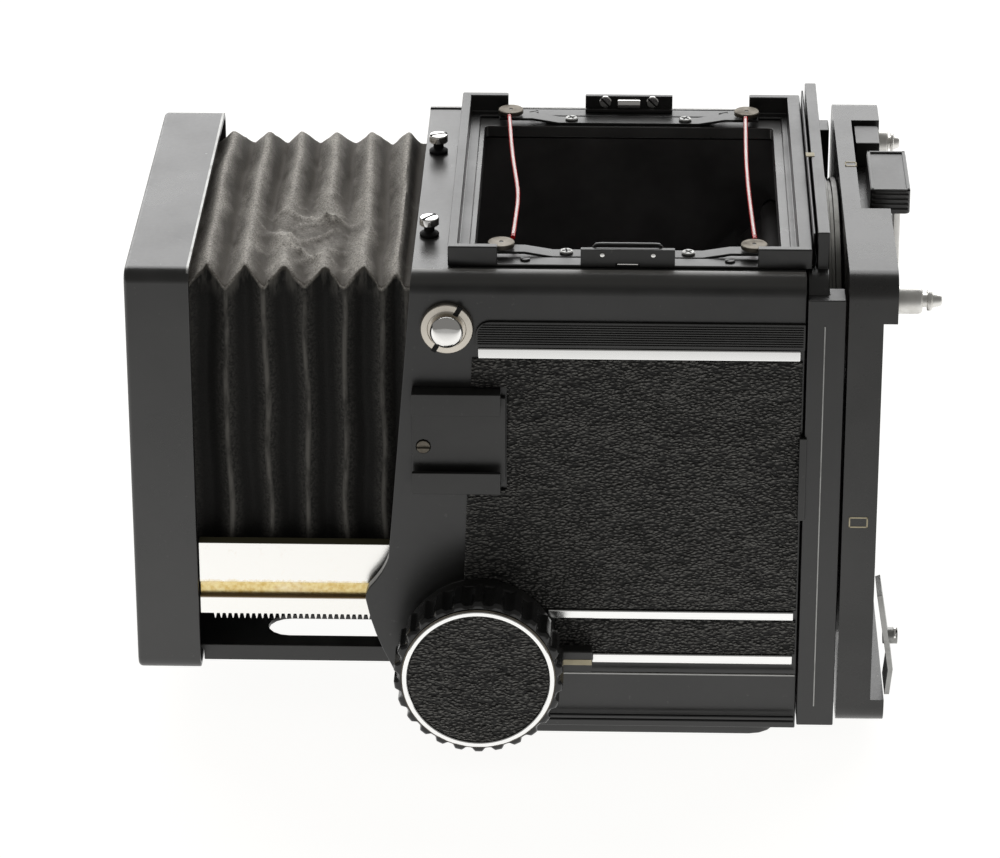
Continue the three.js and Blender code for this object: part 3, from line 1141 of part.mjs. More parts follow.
const camera = assembly(
  assembly(
    piece('left_side_cover', sideCover(-1), BLACK_ENAMEL),
    piece('right_side_cover', sideCover(1), BLACK_ENAMEL),
    piece('front_frame', frontFrame(), BLACK_ENAMEL),
    piece('deck_plate', deckPlate(), BLACK_ENAMEL),
    piece('mirror_box', mirrorBox(), MATT_BLACK),
    piece('bottom_casting', bottomCasting(), BLACK_ENAMEL),
    piece('base_plate', basePlate(), BLACK_ENAMEL),
    piece('tripod_socket', tripodSocket(), SATIN_STEEL),
    piece('rear_frame', rearFrame(), BLACK_ENAMEL),
    piece('left_leatherette', leatherette(-1, LEFT_SKIN_LOW, SKIN_HIGH), LEATHERETTE),
    piece('left_lower_leatherette', lowerLeatherette(), LEATHERETTE),
    piece('right_leatherette', leatherette(1, SKIN_LOW, SKIN_HIGH), LEATHERETTE),
    piece('left_plate', namePlate(-1), BLACK_STEEL),
    piece('right_plate', namePlate(1), BLACK_STEEL),
    piece('left_upper_trim', trim(PLATE_FRONT + 0.6, UPPER_TRIM_LOW, UPPER_TRIM_HEIGHT), CHROME),
    piece('left_middle_trim', trim(MIDDLE_TRIM_FRONT, MIDDLE_TRIM_LOW, MIDDLE_TRIM_HEIGHT), CHROME),
    piece('left_lower_trim', trim(LOWER_TRIM_FRONT, LOWER_TRIM_LOW, LOWER_TRIM_HEIGHT), CHROME),
    piece('left_strap_lug', strapLug(-1), CHROME),
    piece('right_strap_lug', strapLug(1), CHROME),
    piece('accessory_shoe', accessoryShoe(), BLACK_STEEL),
    piece('shoe_screw', shoeScrew(), BLACK_STEEL),
    piece('bellows', bellows(), PLEATED_CLOTH),
  ),
  assembly(
    piece('finder_frame', finderFrame(), BLACK_ENAMEL),
    piece('left_finder_catch', finderCatch(-1), BLACK_STEEL),
    piece('right_finder_catch', finderCatch(1), BLACK_STEEL),
    piece('left_deck_screw', deckScrew(DECK_SCREW_LEFT), CHROME),
    piece('right_deck_screw', deckScrew(DECK_SCREW_RIGHT), CHROME),
    piece('left_leaf_bar', leafBar(-1), BLACK_STEEL),
    piece('right_leaf_bar', leafBar(1), BLACK_STEEL),
    piece('front_left_disc', formatDisc(FRONT_DISC_X, -1), AGED_BRASS),
    piece('front_right_disc', formatDisc(FRONT_DISC_X, 1), AGED_BRASS),
    piece('rear_left_disc', formatDisc(REAR_DISC_X, -1), AGED_BRASS),
    piece('rear_right_disc', formatDisc(REAR_DISC_X, 1), AGED_BRASS),
    piece('front_format_line', formatLine(leftBow), RED_PLASTIC),
    piece('rear_format_line', formatLine(rightBow), RED_PLASTIC),
  ),
  assembly(
    piece('front_standard', frontStandard(), BLACK_ENAMEL),
    piece('lens_mount_ring', lensMountRing(), SATIN_STEEL),
    piece('left_rail', rail(-1), SATIN_STEEL),
    piece('right_rail', rail(1), SATIN_STEEL),
    piece('slide_plate', slidePlate(), BLACK_STEEL),
    piece('cocking_ring', cockingRing(), GREY_STEEL),
  ),
  assembly(
    piece('pinion_shaft', pinionShaft(), SATIN_STEEL),
    piece('left_knob', knob(-1), BLACK_ENAMEL),
    piece('left_knob_ring', knobRing(), CHROME),
    piece('left_knob_inlay', knobInlay(), LEATHERETTE),
    piece('right_knob', knob(1), BLACK_ENAMEL),
    piece('focus_lock_lever', focusLockLever(), BLACK_STEEL),
  ),
  assembly(
    piece('mirror_carrier', mirrorCarrier(), MATT_BLACK),
    piece('mirror_glass', mirrorGlass(), SILVERED_GLASS),
    piece('mirror_pin', mirrorPin(), SATIN_STEEL),
    piece('rear_baffle', rearBaffle(), MATT_BLACK),
  ),
  assembly(
    piece('revolving_ring', revolvingRing(), BLACK_STEEL),
    piece('revolving_adapter', revolvingAdapter(), BLACK_ENAMEL),
    piece('adapter_lock', adapterLock(), BLACK_STEEL),
    piece('left_interlock_pin', interlockPin(-1, LEFT_PIN_REACH), CHROME),
    piece('right_interlock_pin', interlockPin(1, RIGHT_PIN_REACH), CHROME),
    piece('lower_latch', lowerLatch(), GREY_STEEL),
  ),
  assembly(
    piece('cocking_lever', cockingLever(), BLACK_ENAMEL),
    piece('release_button', releaseButton(), CHROME),
    piece('release_collar', releaseCollar(), GREY_STEEL),
  ),
);
camera.position.x = -(STANDARD_FRONT + REARMOST) / 2;

export default camera;
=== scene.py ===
"""The looks of a bare medium-format reflex camera body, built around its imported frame.

Sizes are millimetres in the frame's own axes: X from the lens end to the film end, Y towards the
camera's right side, Z up. A piece is modelled in millimetres and scaled to metres when it is placed.
"""
import logging
import math
from collections.abc import Callable, Iterable, Sequence
from dataclasses import dataclass, field
from enum import Enum

import bmesh
import bpy
from bmesh.types import BMEdge, BMesh, BMVert
from mathutils import Matrix, Vector, noise


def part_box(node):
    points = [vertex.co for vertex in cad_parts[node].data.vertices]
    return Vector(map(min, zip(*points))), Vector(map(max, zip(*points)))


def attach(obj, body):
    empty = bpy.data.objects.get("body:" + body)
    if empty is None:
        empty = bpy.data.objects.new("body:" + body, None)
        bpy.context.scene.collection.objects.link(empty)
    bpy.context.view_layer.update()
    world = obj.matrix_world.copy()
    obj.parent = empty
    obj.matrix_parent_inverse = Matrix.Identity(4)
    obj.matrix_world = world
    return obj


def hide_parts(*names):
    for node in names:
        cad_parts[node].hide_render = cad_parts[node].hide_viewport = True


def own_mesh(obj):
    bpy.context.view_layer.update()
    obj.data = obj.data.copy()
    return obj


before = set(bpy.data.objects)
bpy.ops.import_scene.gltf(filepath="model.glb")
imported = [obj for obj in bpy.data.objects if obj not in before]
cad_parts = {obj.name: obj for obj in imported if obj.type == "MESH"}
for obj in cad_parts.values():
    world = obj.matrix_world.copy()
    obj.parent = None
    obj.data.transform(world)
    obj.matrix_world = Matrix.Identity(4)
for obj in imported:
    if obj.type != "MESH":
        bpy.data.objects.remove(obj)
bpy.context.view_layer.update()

MM = 0.001
LOG = logging.getLogger("camera")
Triple = tuple[float, float, float]
Pair = tuple[float, float]


# ---------------------------------------------------------------- shape tools


class Axis(Enum):
    """The frame's axes, each with the turn that takes local Z onto it."""

    X = Matrix.Rotation(math.pi / 2, 4, "Y")
    Y = Matrix.Rotation(-math.pi / 2, 4, "X")
    Z = Matrix.Identity(4)


class Plane(Enum):
    """Where an outline's two coordinates and its depth go: one entry for each frame axis."""

    ALONG_X = Matrix(((0, 0, 1, 0), (1, 0, 0, 0), (0, 1, 0, 0), (0, 0, 0, 1)))
    ALONG_Y = Matrix(((1, 0, 0, 0), (0, 0, 1, 0), (0, 1, 0, 0), (0, 0, 0, 1)))
    ALONG_Z = Matrix.Identity(4)


def span(node: str) -> tuple[Vector, Vector]:
    """A CAD node's lowest and highest corners in millimetres.

    Args:
        node: The node's name.

    Returns:
        The two corners.
    """
    low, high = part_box(node)
    return low / MM, high / MM


def middle(node: str) -> Vector:
    """The middle of a CAD node's box, in millimetres."""
    low, high = span(node)
    return (low + high) / 2


def sharp_edges(mesh: BMesh, angle: float, keep: Callable[[BMEdge], bool] | None = None) -> list[BMEdge]:
    """Edges whose two faces meet at more than an angle.

    Args:
        mesh: The mesh to search.
        angle: The least angle in degrees.
        keep: An optional test that an edge must also pass.

    Returns:
        The edges found.
    """
    least = math.radians(angle)
    found = [e for e in mesh.edges if len(e.link_faces) == 2 and e.calc_face_angle(0) > least]
    return found if keep is None else [e for e in found if keep(e)]


def soften(mesh: BMesh, width: float, segments: int = 2, angle: float = 32,
           keep: Callable[[BMEdge], bool] | None = None) -> None:
    """Rounds a mesh's sharp edges.

    Args:
        mesh: The mesh to change.
        width: The rounding's offset in millimetres.
        segments: Steps across the rounding.
        angle: The least angle in degrees of an edge that is rounded.
        keep: An optional test that an edge must also pass.
    """
    edges = sharp_edges(mesh, angle, keep)
    if edges and width > 0:
        bmesh.ops.bevel(mesh, geom=edges, offset=width, offset_type="OFFSET", segments=segments,
                        profile=0.5, affect="EDGES", clamp_overlap=True, material=-1)


def tidy(mesh: BMesh) -> BMesh:
    """Merges doubled vertices and turns the faces outwards."""
    bmesh.ops.remove_doubles(mesh, verts=mesh.verts, dist=1e-4)
    bmesh.ops.recalc_face_normals(mesh, faces=mesh.faces)
    return mesh


def block(low: Sequence[float], high: Sequence[float]) -> BMesh:
    """A block between two corners."""
    mesh = bmesh.new()
    bmesh.ops.create_cube(mesh, size=1)
    centre = (Vector(low) + Vector(high)) / 2
    size = Vector(high) - Vector(low)
    bmesh.ops.transform(mesh, verts=mesh.verts, matrix=Matrix.LocRotScale(centre, None, size))
    return mesh


def turned(axis: Axis, centre: Sequence[float], profile: Iterable[Pair], steps: int = 64) -> BMesh:
    """A profile spun through a full turn.

    Args:
        axis: The spin axis.
        centre: A point on the axis, from which places along it are counted.
        profile: Points of (radius, place along the axis).
        steps: Facets round the turn.

    Returns:
        The closed or open shell that the profile sweeps.
    """
    mesh = bmesh.new()
    verts = [mesh.verts.new((radius, 0, along)) for radius, along in profile]
    edges = [mesh.edges.new(pair) for pair in zip(verts, verts[1:])]
    bmesh.ops.spin(mesh, geom=[*verts, *edges], cent=(0, 0, 0), axis=(0, 0, 1), dvec=(0, 0, 0),
                   angle=2 * math.pi, steps=steps, use_merge=True, use_duplicate=False)
    bmesh.ops.transform(mesh, verts=mesh.verts, matrix=Matrix.Translation(Vector(centre)) @ axis.value)
    return tidy(mesh)


def rod(axis: Axis, centre: Sequence[float], radius: float, start: float, end: float,
        steps: int = 48) -> BMesh:
    """A plain round rod between two places along its axis."""
    return turned(axis, centre, [(0, start), (radius, start), (radius, end), (0, end)], steps)


def prism(plane: Plane, outline: Iterable[Pair], start: float, end: float) -> BMesh:
    """An outline pushed along an axis.

    Args:
        plane: The axis that it runs along.
        outline: The corners: (y, z) along X, (x, z) along Y, (x, y) along Z.
        start: Where it begins.
        end: Where it ends.

    Returns:
        The closed prism.
    """
    mesh = bmesh.new()
    face = mesh.faces.new([mesh.verts.new((u, v, start)) for u, v in outline])
    grown = bmesh.ops.extrude_face_region(mesh, geom=[face])
    moved = [v for v in grown["geom"] if isinstance(v, BMVert)]
    bmesh.ops.translate(mesh, verts=moved, vec=(0, 0, end - start))
    bmesh.ops.transform(mesh, verts=mesh.verts, matrix=plane.value)
    return tidy(mesh)


def rounded(low: Pair, high: Pair, radius: float, steps: int = 6) -> list[Pair]:
    """A rectangle's outline with round corners.

    Args:
        low: The lowest corner.
        high: The highest corner.
        radius: The corners' radius.
        steps: Steps in each corner.

    Returns:
        The outline's points.
    """
    centres = ((high[0] - radius, high[1] - radius), (low[0] + radius, high[1] - radius),
               (low[0] + radius, low[1] + radius), (high[0] - radius, low[1] + radius))
    points = []
    for quarter, (u, v) in enumerate(centres):
        for step in range(steps + 1):
            angle = (quarter + step / steps) * math.pi / 2
            points.append((u + radius * math.cos(angle), v + radius * math.sin(angle)))
    return points


def outlined(low: Pair, high: Pair, across: float, along: float) -> list[tuple[Pair, Pair]]:
    """A rectangle's border as four bars.

    Args:
        low: The rectangle's lowest corner.
        high: Its highest corner.
        across: The width of the two bars at its first coordinate's ends.
        along: The width of the two bars at its second coordinate's ends.

    Returns:
        Each bar's lowest and highest corners.
    """
    return [(low, (high[0], low[1] + along)), ((low[0], high[1] - along), high),
            (low, (low[0] + across, high[1])), ((high[0] - across, low[1]), high)]


def copied(node: str) -> BMesh:
    """A CAD node's mesh in millimetres, merged and with its flat faces made whole."""
    mesh = bmesh.new()
    mesh.from_mesh(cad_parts[node].data)
    bmesh.ops.scale(mesh, verts=mesh.verts, vec=(1 / MM, 1 / MM, 1 / MM))
    bmesh.ops.remove_doubles(mesh, verts=mesh.verts, dist=2e-3)
    bmesh.ops.dissolve_limit(mesh, angle_limit=math.radians(0.6), verts=mesh.verts, edges=mesh.edges,
                             use_dissolve_boundaries=False, delimit=set())
    return mesh


@dataclass
class Form:
    """A piece under construction, in millimetres, made of parts with one finish each."""

    mesh: BMesh = field(default_factory=bmesh.new)

    def take(self, part: BMesh, finish: int = 0, edge: float = 0.0, segments: int = 2,
             angle: float = 32) -> "Form":
        """Adds a part and frees it.

        Args:
            part: The part to add.
            finish: The place of its finish in the piece's list.
            edge: How far its sharp edges are rounded, in millimetres.
            segments: Steps across that rounding.
            angle: The least angle in degrees of an edge that is rounded.

        Returns:
            This form.
        """
        soften(part, edge, segments, angle)
        for face in part.faces:
            face.material_index = finish
            face.smooth = True
        carrier = bpy.data.meshes.new("carrier")
        part.to_mesh(carrier)
        part.free()
        self.mesh.from_mesh(carrier)
        bpy.data.meshes.remove(carrier)
        return self


# ---------------------------------------------------------------- finishes


class Shader:
    """One material's nodes, added through short methods."""

    def __init__(self, name: str) -> None:
        """Starts a material with one principled shader.

        Args:
            name: The material's name.
        """
        self.material = bpy.data.materials.new(name)
        self.material.use_nodes = True
        self.tree = self.material.node_tree
        self.surface = self.tree.nodes["Principled BSDF"]
        self.place = self.node("ShaderNodeTexCoord").outputs["Object"]

    def node(self, kind: str, **settings: object) -> bpy.types.Node:
        """Adds a node and sets its properties."""
        made = self.tree.nodes.new(kind)
        for key, value in settings.items():
            setattr(made, key, value)
        return made

    def wire(self, source: object, target: bpy.types.NodeSocket) -> None:
        """Links a socket, or sets a plain value on the target."""
        if isinstance(source, bpy.types.NodeSocket):
            self.tree.links.new(source, target)
        else:
            target.default_value = source

    def fixed(self, **values: object) -> "Shader":
        """Sets plain values on the shader's own sockets, whose names are given with underscores."""
        for key, value in values.items():
            self.surface.inputs[key.replace("_", " ")].default_value = value
        return self

    def stretched(self, scale: Triple, turn: Triple = (0, 0, 0)) -> bpy.types.NodeSocket:
        """Object coordinates that are scaled and turned before a pattern reads them."""
        mapping = self.node("ShaderNodeMapping")
        mapping.inputs["Scale"].default_value = scale
        mapping.inputs["Rotation"].default_value = turn
        self.wire(self.place, mapping.inputs["Vector"])
        return mapping.outputs["Vector"]

    def shifted(self, vector: bpy.types.NodeSocket, amount: bpy.types.NodeSocket,
                reach: float) -> bpy.types.NodeSocket:
        """Coordinates pushed about by a pattern, by up to a reach in metres."""
        made = self.node("ShaderNodeVectorMath", operation="MULTIPLY_ADD")
        self.wire(amount, made.inputs[0])
        made.inputs[1].default_value = (reach, reach, reach)
        self.wire(vector, made.inputs[2])
        return made.outputs[0]

    def noise(self, scale: float, detail: float = 3, rough: float = 0.55,
              vector: bpy.types.NodeSocket | None = None) -> bpy.types.NodeSocket:
        """A noise pattern with this many cells per metre."""
        made = self.node("ShaderNodeTexNoise")
        self.wire(vector or self.place, made.inputs["Vector"])
        made.inputs["Scale"].default_value = scale
        made.inputs["Detail"].default_value = detail
        made.inputs["Roughness"].default_value = rough
        return made.outputs["Fac"]

    def cells(self, scale: float, vector: bpy.types.NodeSocket | None = None) -> bpy.types.NodeSocket:
        """The distance to the nearest of scattered points."""
        made = self.node("ShaderNodeTexVoronoi", feature="F1")
        self.wire(vector or self.place, made.inputs["Vector"])
        made.inputs["Scale"].default_value = scale
        return made.outputs["Distance"]

    def attribute(self, name: str) -> bpy.types.NodeSocket:
        """A number that the mesh itself carries."""
        return self.node("ShaderNodeAttribute", attribute_name=name).outputs["Fac"]

    def axis(self, name: str, output: str = "Object") -> bpy.types.NodeSocket:
        """One component of the object's coordinates or of its normal."""
        source = self.node("ShaderNodeTexCoord").outputs[output]
        parts = self.node("ShaderNodeSeparateXYZ")
        self.wire(source, parts.inputs[0])
        return parts.outputs[name]

    def ranged(self, value: bpy.types.NodeSocket, low: float, high: float, to_low: float = 0,
               to_high: float = 1) -> bpy.types.NodeSocket:
        """A value stretched from one range to another and held there."""
        made = self.node("ShaderNodeMapRange", clamp=True)
        self.wire(value, made.inputs["Value"])
        for key, number in (("From Min", low), ("From Max", high), ("To Min", to_low), ("To Max", to_high)):
            made.inputs[key].default_value = number
        return made.outputs["Result"]

    def sum_of(self, kind: str, first: object, second: object) -> bpy.types.NodeSocket:
        """Two values put together by a named operation."""
        made = self.node("ShaderNodeMath", operation=kind)
        self.wire(first, made.inputs[0])
        self.wire(second, made.inputs[1])
        return made.outputs[0]

    def mixed(self, share: object, first: object, second: object) -> bpy.types.NodeSocket:
        """Two colours mixed; a plain colour is given as three numbers."""
        made = self.node("ShaderNodeMix", data_type="RGBA")
        for source, target in ((share, made.inputs[0]), (first, made.inputs[6]), (second, made.inputs[7])):
            plain = isinstance(source, tuple)
            self.wire((*source, 1.0) if plain else source, target)
        return made.outputs[2]

    def bumped(self, height: bpy.types.NodeSocket, distance: float, strength: float = 1,
               under: bpy.types.NodeSocket | None = None) -> bpy.types.NodeSocket:
        """A relief of a height in metres, laid over another one where there is one."""
        made = self.node("ShaderNodeBump")
        made.inputs["Strength"].default_value = strength
        made.inputs["Distance"].default_value = distance
        self.wire(height, made.inputs["Height"])
        if under is not None:
            self.wire(under, made.inputs["Normal"])
        return made.outputs["Normal"]

    def colour(self, source: object) -> "Shader":
        """Sets or links the base colour."""
        self.wire((*source, 1.0) if isinstance(source, tuple) else source, self.surface.inputs["Base Color"])
        return self

    def rough(self, source: object) -> "Shader":
        """Sets or links the roughness."""
        self.wire(source, self.surface.inputs["Roughness"])
        return self

    def relief(self, source: bpy.types.NodeSocket) -> "Shader":
        """Links the normal."""
        self.wire(source, self.surface.inputs["Normal"])
        return self


@dataclass(frozen=True)
class Finish:
    """What every finish has: its material's name and its colour."""

    name: str
    tint: Triple

    def made(self) -> bpy.types.Material:
        """The finish's material, made once."""
        own = f"{self.name}_finish"
        found = bpy.data.materials.get(own)
        return found or self.build(Shader(own)).material

    def build(self, shader: Shader) -> Shader:
        """Fills in the material's nodes."""
        return shader.colour(self.tint)


@dataclass(frozen=True)
class Enamel(Finish):
    """Satin paint with an uneven gloss, dust and a few bright chips."""

    gloss: float = 0.34
    chips: float = 0.5
    metal: float = 0.0
    ior: float = 1.5
    # This flag paints a grey sheen and a pale highlight where a rolled edge turns upwards.
    painted_roll_highlight: bool = False

    def build(self, shader: Shader) -> Shader:
        """Paint over a fine orange peel; where a rolled edge turns upwards, a painted sheen and a painted
        highlight.
        """
        broad = shader.noise(55, 4)
        fine = shader.noise(900, 2)
        dust = shader.ranged(shader.noise(620, 2, 0.7), 0.68, 0.8, 0, 0.35)
        pale = tuple(min(1.0, part * 2.2 + 0.03) for part in self.tint)
        tone = shader.mixed(shader.ranged(broad, 0.35, 0.7, 0, 0.35), self.tint, pale)
        dust_and_painted_light = shader.mixed(dust, tone, (0.12, 0.115, 0.105))
        spots = shader.sum_of("MULTIPLY", shader.ranged(shader.cells(150), 0.05, 0.035),
                              shader.ranged(shader.noise(38, 1), 0.6, 0.64, 0, self.chips))
        # Painted reflection on the rolled edge: a grey sheen where it faces half upwards, a pale highlight where
        # it faces straight up.
        if self.painted_roll_highlight:
            upward = shader.axis("Z", "Normal")
            dust_and_painted_light = shader.mixed(shader.ranged(upward, 0.4, 0.6, 0, 0.8), dust_and_painted_light, (0.06, 0.059, 0.056))
            dust_and_painted_light = shader.mixed(shader.ranged(upward, 0.9, 0.99, 0, 0.8), dust_and_painted_light, (0.34, 0.335, 0.32))
        shader.colour(shader.mixed(spots, dust_and_painted_light, (0.42, 0.41, 0.39)))
        wear_and_sheen = shader.ranged(broad, 0.3, 0.75, self.gloss - 0.05, self.gloss + 0.09)
        shader.rough(shader.sum_of("ADD", wear_and_sheen, shader.ranged(fine, 0.3, 0.8, 0, 0.05)))
        shader.relief(shader.bumped(fine, 0.00001, 0.35))
        return shader.fixed(Metallic=self.metal, IOR=self.ior)


@dataclass(frozen=True)
class MattPaint(Finish):
    """Flat anti-reflection paint."""

    def build(self, shader: Shader) -> Shader:
        """A fine grain that scatters what light reaches it."""
        grain = shader.noise(1500, 3)
        broad = shader.noise(70, 3)
        shader.colour(shader.mixed(shader.ranged(broad, 0.3, 0.75), self.tint,
                                   tuple(part * 2.4 + 0.004 for part in self.tint)))
        shader.rough(shader.ranged(broad, 0.2, 0.8, 0.62, 0.78))
        shader.relief(shader.bumped(grain, 0.00004, 0.6))
        return shader.fixed(Specular_IOR_Level=0.3)


@dataclass(frozen=True)
class Pebbled(Finish):
    """Leatherette: the wrinkles are in the mesh, and this adds the fine grain between them."""

    stretch: Triple = (0.62, 1, 1.15)
    # The valley colour is painted shade in the hollows between pebbles.
    valley_shade: Triple = (0.009, 0.009, 0.0085)
    pebble: float = 1650
    relief_depth: float = 0.00045

    def build(self, shader: Shader) -> Shader:
        """Pebbles and pores, with painted light from above: pebble tops and upper slopes paler, lower slopes and
        valleys darker; the high spots are also a little glossier.
        """
        along = shader.stretched(self.stretch)
        warp = shader.noise(420, 2, 0.5)
        pebbles = shader.cells(self.pebble, shader.shifted(along, warp, 0.0009))
        pores = shader.noise(2600, 3, 0.6)
        domes = shader.ranged(pebbles, 0.15, 0.62, 1, 0)
        above = shader.cells(self.pebble, shader.shifted(self.lifted(shader), warp, 0.0009))
        # Painted light: comparing with the lowered pebbles makes upper slopes paler and lower slopes darker, as
        # if lit from above.
        lit = shader.sum_of("SUBTRACT", above, pebbles)
        broad = shader.noise(330, 3, 0.6, along)
        height = shader.sum_of("ADD", domes, shader.ranged(broad, 0.25, 0.75, 0, 1.0))
        # Dome tops and lit slopes paler, valleys dark: painted light and shade, with a random broad tone on top.
        crown = shader.sum_of("ADD", domes, shader.ranged(lit, -0.25, 0.3, -0.55, 0.45))
        tone = shader.sum_of("ADD", crown, shader.ranged(broad, 0.3, 0.7, -0.25, 0.25))
        shader.colour(shader.mixed(shader.ranged(tone, -0.1, 1.2), self.valley_shade, self.tint))
        shader.rough(shader.ranged(domes, 0, 1, 0.6, 0.4))
        coarse = shader.bumped(height, self.relief_depth, 1)
        shader.relief(shader.bumped(pores, 0.00004, 0.5, coarse))
        return shader.fixed(Specular_IOR_Level=0.26)

    def lifted(self, shader: Shader) -> bpy.types.NodeSocket:
        """The pebbles' coordinates a little lower down, to tell a pebble's upper slope from its lower one for
        the painted light from above.
        """
        mapping = shader.node("ShaderNodeMapping")
        mapping.inputs["Scale"].default_value = self.stretch
        mapping.inputs["Location"].default_value = (0, 0, -0.00022)
        shader.wire(shader.place, mapping.inputs["Vector"])
        return mapping.outputs["Vector"]


@dataclass(frozen=True)
class DustyCloth(Finish):
    """Pleated bellows cloth, grey with dust where it faces up, with painted light and shade on its folds and
    rubbed wear along its ridges and corners.
    """

    dust: Triple = (0.68, 0.645, 0.59)
    # The valley colour is painted shade in the folds and between the threads; the rub colour serves both rubbed
    # wear and a painted highlight on the side crests.
    valley_shade: Triple = (0.11, 0.098, 0.083)
    rub_and_sheen: Triple = (0.16, 0.152, 0.138)

    def build(self, shader: Shader) -> Shader:
        """A fine weave under dust, with painted crest light and valley shade from the mesh's crest attribute,
        and wear at the corners from its corner attribute.
        """
        weave = shader.noise(2300, 3, 0.75)
        blotch = shader.noise(95, 5, 0.6)
        streak = shader.noise(420, 4, 0.65, shader.stretched((1, 0.25, 0.25)))
        crest_light, corner = shader.attribute("crest_light"), shader.attribute("corner")
        upward = shader.ranged(shader.axis("Z", "Normal"), 0.25, 0.75)
        # On top, crests take the dust colour and valleys the dark valley colour: painted light and shade, broken
        # by random blotches.
        uneven = shader.sum_of("ADD", crest_light, shader.ranged(blotch, 0.25, 0.75, -0.3, 0.3))
        dust_and_painted_light = shader.mixed(shader.ranged(uneven, 0.12, 0.95), self.valley_shade, self.dust)
        speckled = shader.mixed(shader.ranged(weave, 0.38, 0.6, 0.75, 0), dust_and_painted_light, self.valley_shade)
        grain = shader.ranged(shader.noise(1500, 3, 0.7), 0.4, 0.62, 0.1, 1)
        # A broad grainy band along the side crests paints a highlight; the streaked ridge line and the streaked
        # corners are rubbed wear.
        band = shader.sum_of("MULTIPLY", shader.ranged(crest_light, 0.35, 0.98), grain)
        ridge = shader.sum_of("MULTIPLY", shader.ranged(crest_light, 0.88, 0.99),
                              shader.ranged(streak, 0.38, 0.55, 0.3, 1))
        highlight_and_rub = shader.sum_of("MAXIMUM", shader.sum_of("MULTIPLY", band, 0.38),
                               shader.sum_of("MULTIPLY", ridge, 0.8))
        wear_and_sheen = shader.sum_of("MAXIMUM", highlight_and_rub,
                             shader.sum_of("MULTIPLY", corner, shader.ranged(streak, 0.42, 0.6, 0, 0.9)))
        side = shader.mixed(wear_and_sheen, self.tint, self.rub_and_sheen)
        shader.colour(shader.mixed(upward, side, speckled))
        shader.rough(0.68)
        shader.relief(shader.bumped(weave, 0.00025, 1))
        return shader.fixed(Specular_IOR_Level=0.22)


@dataclass(frozen=True)
class BareMetal(Finish):
    """Plated or ground metal, with its brushing and stains."""

    gloss: float = 0.12
    brushed: float = 0.0
    stain: Triple = (0.3, 0.27, 0.22)
    stained: float = 0.0
    grain: Triple = (0.05, 1, 1)

    def build(self, shader: Shader) -> Shader:
        """Fine lines along the grain, and stains in patches."""
        lines = shader.noise(3000, 2, 0.5, shader.stretched(self.grain))
        patch = shader.noise(230, 4, 0.6)
        share = shader.ranged(patch, 0.52, 0.78, 0, self.stained)
        shader.colour(shader.mixed(share, self.tint, self.stain))
        even = shader.ranged(patch, 0.3, 0.8, self.gloss, self.gloss + 0.08 + 0.3 * self.stained)
        shader.rough(shader.sum_of("ADD", even, shader.ranged(lines, 0.3, 0.7, 0, 0.12 * self.brushed)))
        shader.relief(shader.bumped(lines, 0.000006, 0.1 + 0.6 * self.brushed))
        return shader.fixed(Metallic=1.0)


@dataclass(frozen=True)
class GreasyRail(Finish):
    """Ground steel with old yellow grease in a band between two heights, in metres."""

    band_low: float = 0.0317
    band_high: float = 0.0351

    def build(self, shader: Shader) -> Shader:
        """Steel above and below, amber grease in the groove, dirt along its foot."""
        height = shader.axis("Z")
        ragged = shader.ranged(shader.noise(420, 4, 0.7), 0.2, 0.8, -0.0006, 0.0006)
        level = shader.sum_of("ADD", height, ragged)
        above = shader.ranged(height, self.band_low, self.band_low + 0.0002)
        below = shader.ranged(level, self.band_high + 0.0007, self.band_high - 0.0005)
        patchy = shader.ranged(shader.noise(330, 4, 0.65, shader.stretched((0.35, 1, 1))), 0.2, 0.5, 0.6, 1)
        grease = shader.sum_of("MULTIPLY", shader.sum_of("MULTIPLY", above, below), patchy)
        amber = shader.mixed(shader.ranged(shader.noise(900, 3), 0.35, 0.7), (0.98, 0.82, 0.42),
                             (0.75, 0.52, 0.16))
        film = shader.ranged(shader.noise(500, 4, 0.7), 0.6, 0.85, 0, 0.35)
        steel = shader.mixed(film, self.tint, (0.8, 0.76, 0.66))
        edge = shader.ranged(shader.axis("Z", "Normal"), 0.3, 0.9)
        steel = shader.mixed(edge, steel, (0.12, 0.11, 0.06))
        dirt = shader.sum_of("MULTIPLY", shader.ranged(height, self.band_low - 0.0006, self.band_low - 0.0003),
                             shader.ranged(height, self.band_low + 0.0005, self.band_low + 0.0001))
        steel = shader.mixed(dirt, steel, (0.12, 0.08, 0.04))
        shader.colour(shader.mixed(grease, steel, amber))
        shader.rough(shader.sum_of("ADD", shader.ranged(grease, 0, 1, 0.22, 0.3),
                                   shader.ranged(edge, 0, 1, 0, 0.35)))
        lines = shader.noise(2600, 2, 0.5, shader.stretched((0.04, 1, 1)))
        shader.relief(shader.bumped(lines, 0.00001, 0.3))
        bare = shader.sum_of("MULTIPLY", shader.ranged(grease, 0, 1, 1.0, 0.75),
                             shader.ranged(edge, 0, 1, 1, 0))
        shader.wire(bare, shader.surface.inputs["Metallic"])
        return shader


@dataclass(frozen=True)
class ClearPlastic(Finish):
    """Clear tinted plastic."""

    depth: float = 0.9

    def build(self, shader: Shader) -> Shader:
        """Mostly clear, with a faint unevenness in its gloss."""
        shader.colour(self.tint)
        shader.rough(shader.ranged(shader.noise(500, 2), 0.2, 0.8, 0.08, 0.2))
        return shader.fixed(Transmission_Weight=self.depth, IOR=1.3)


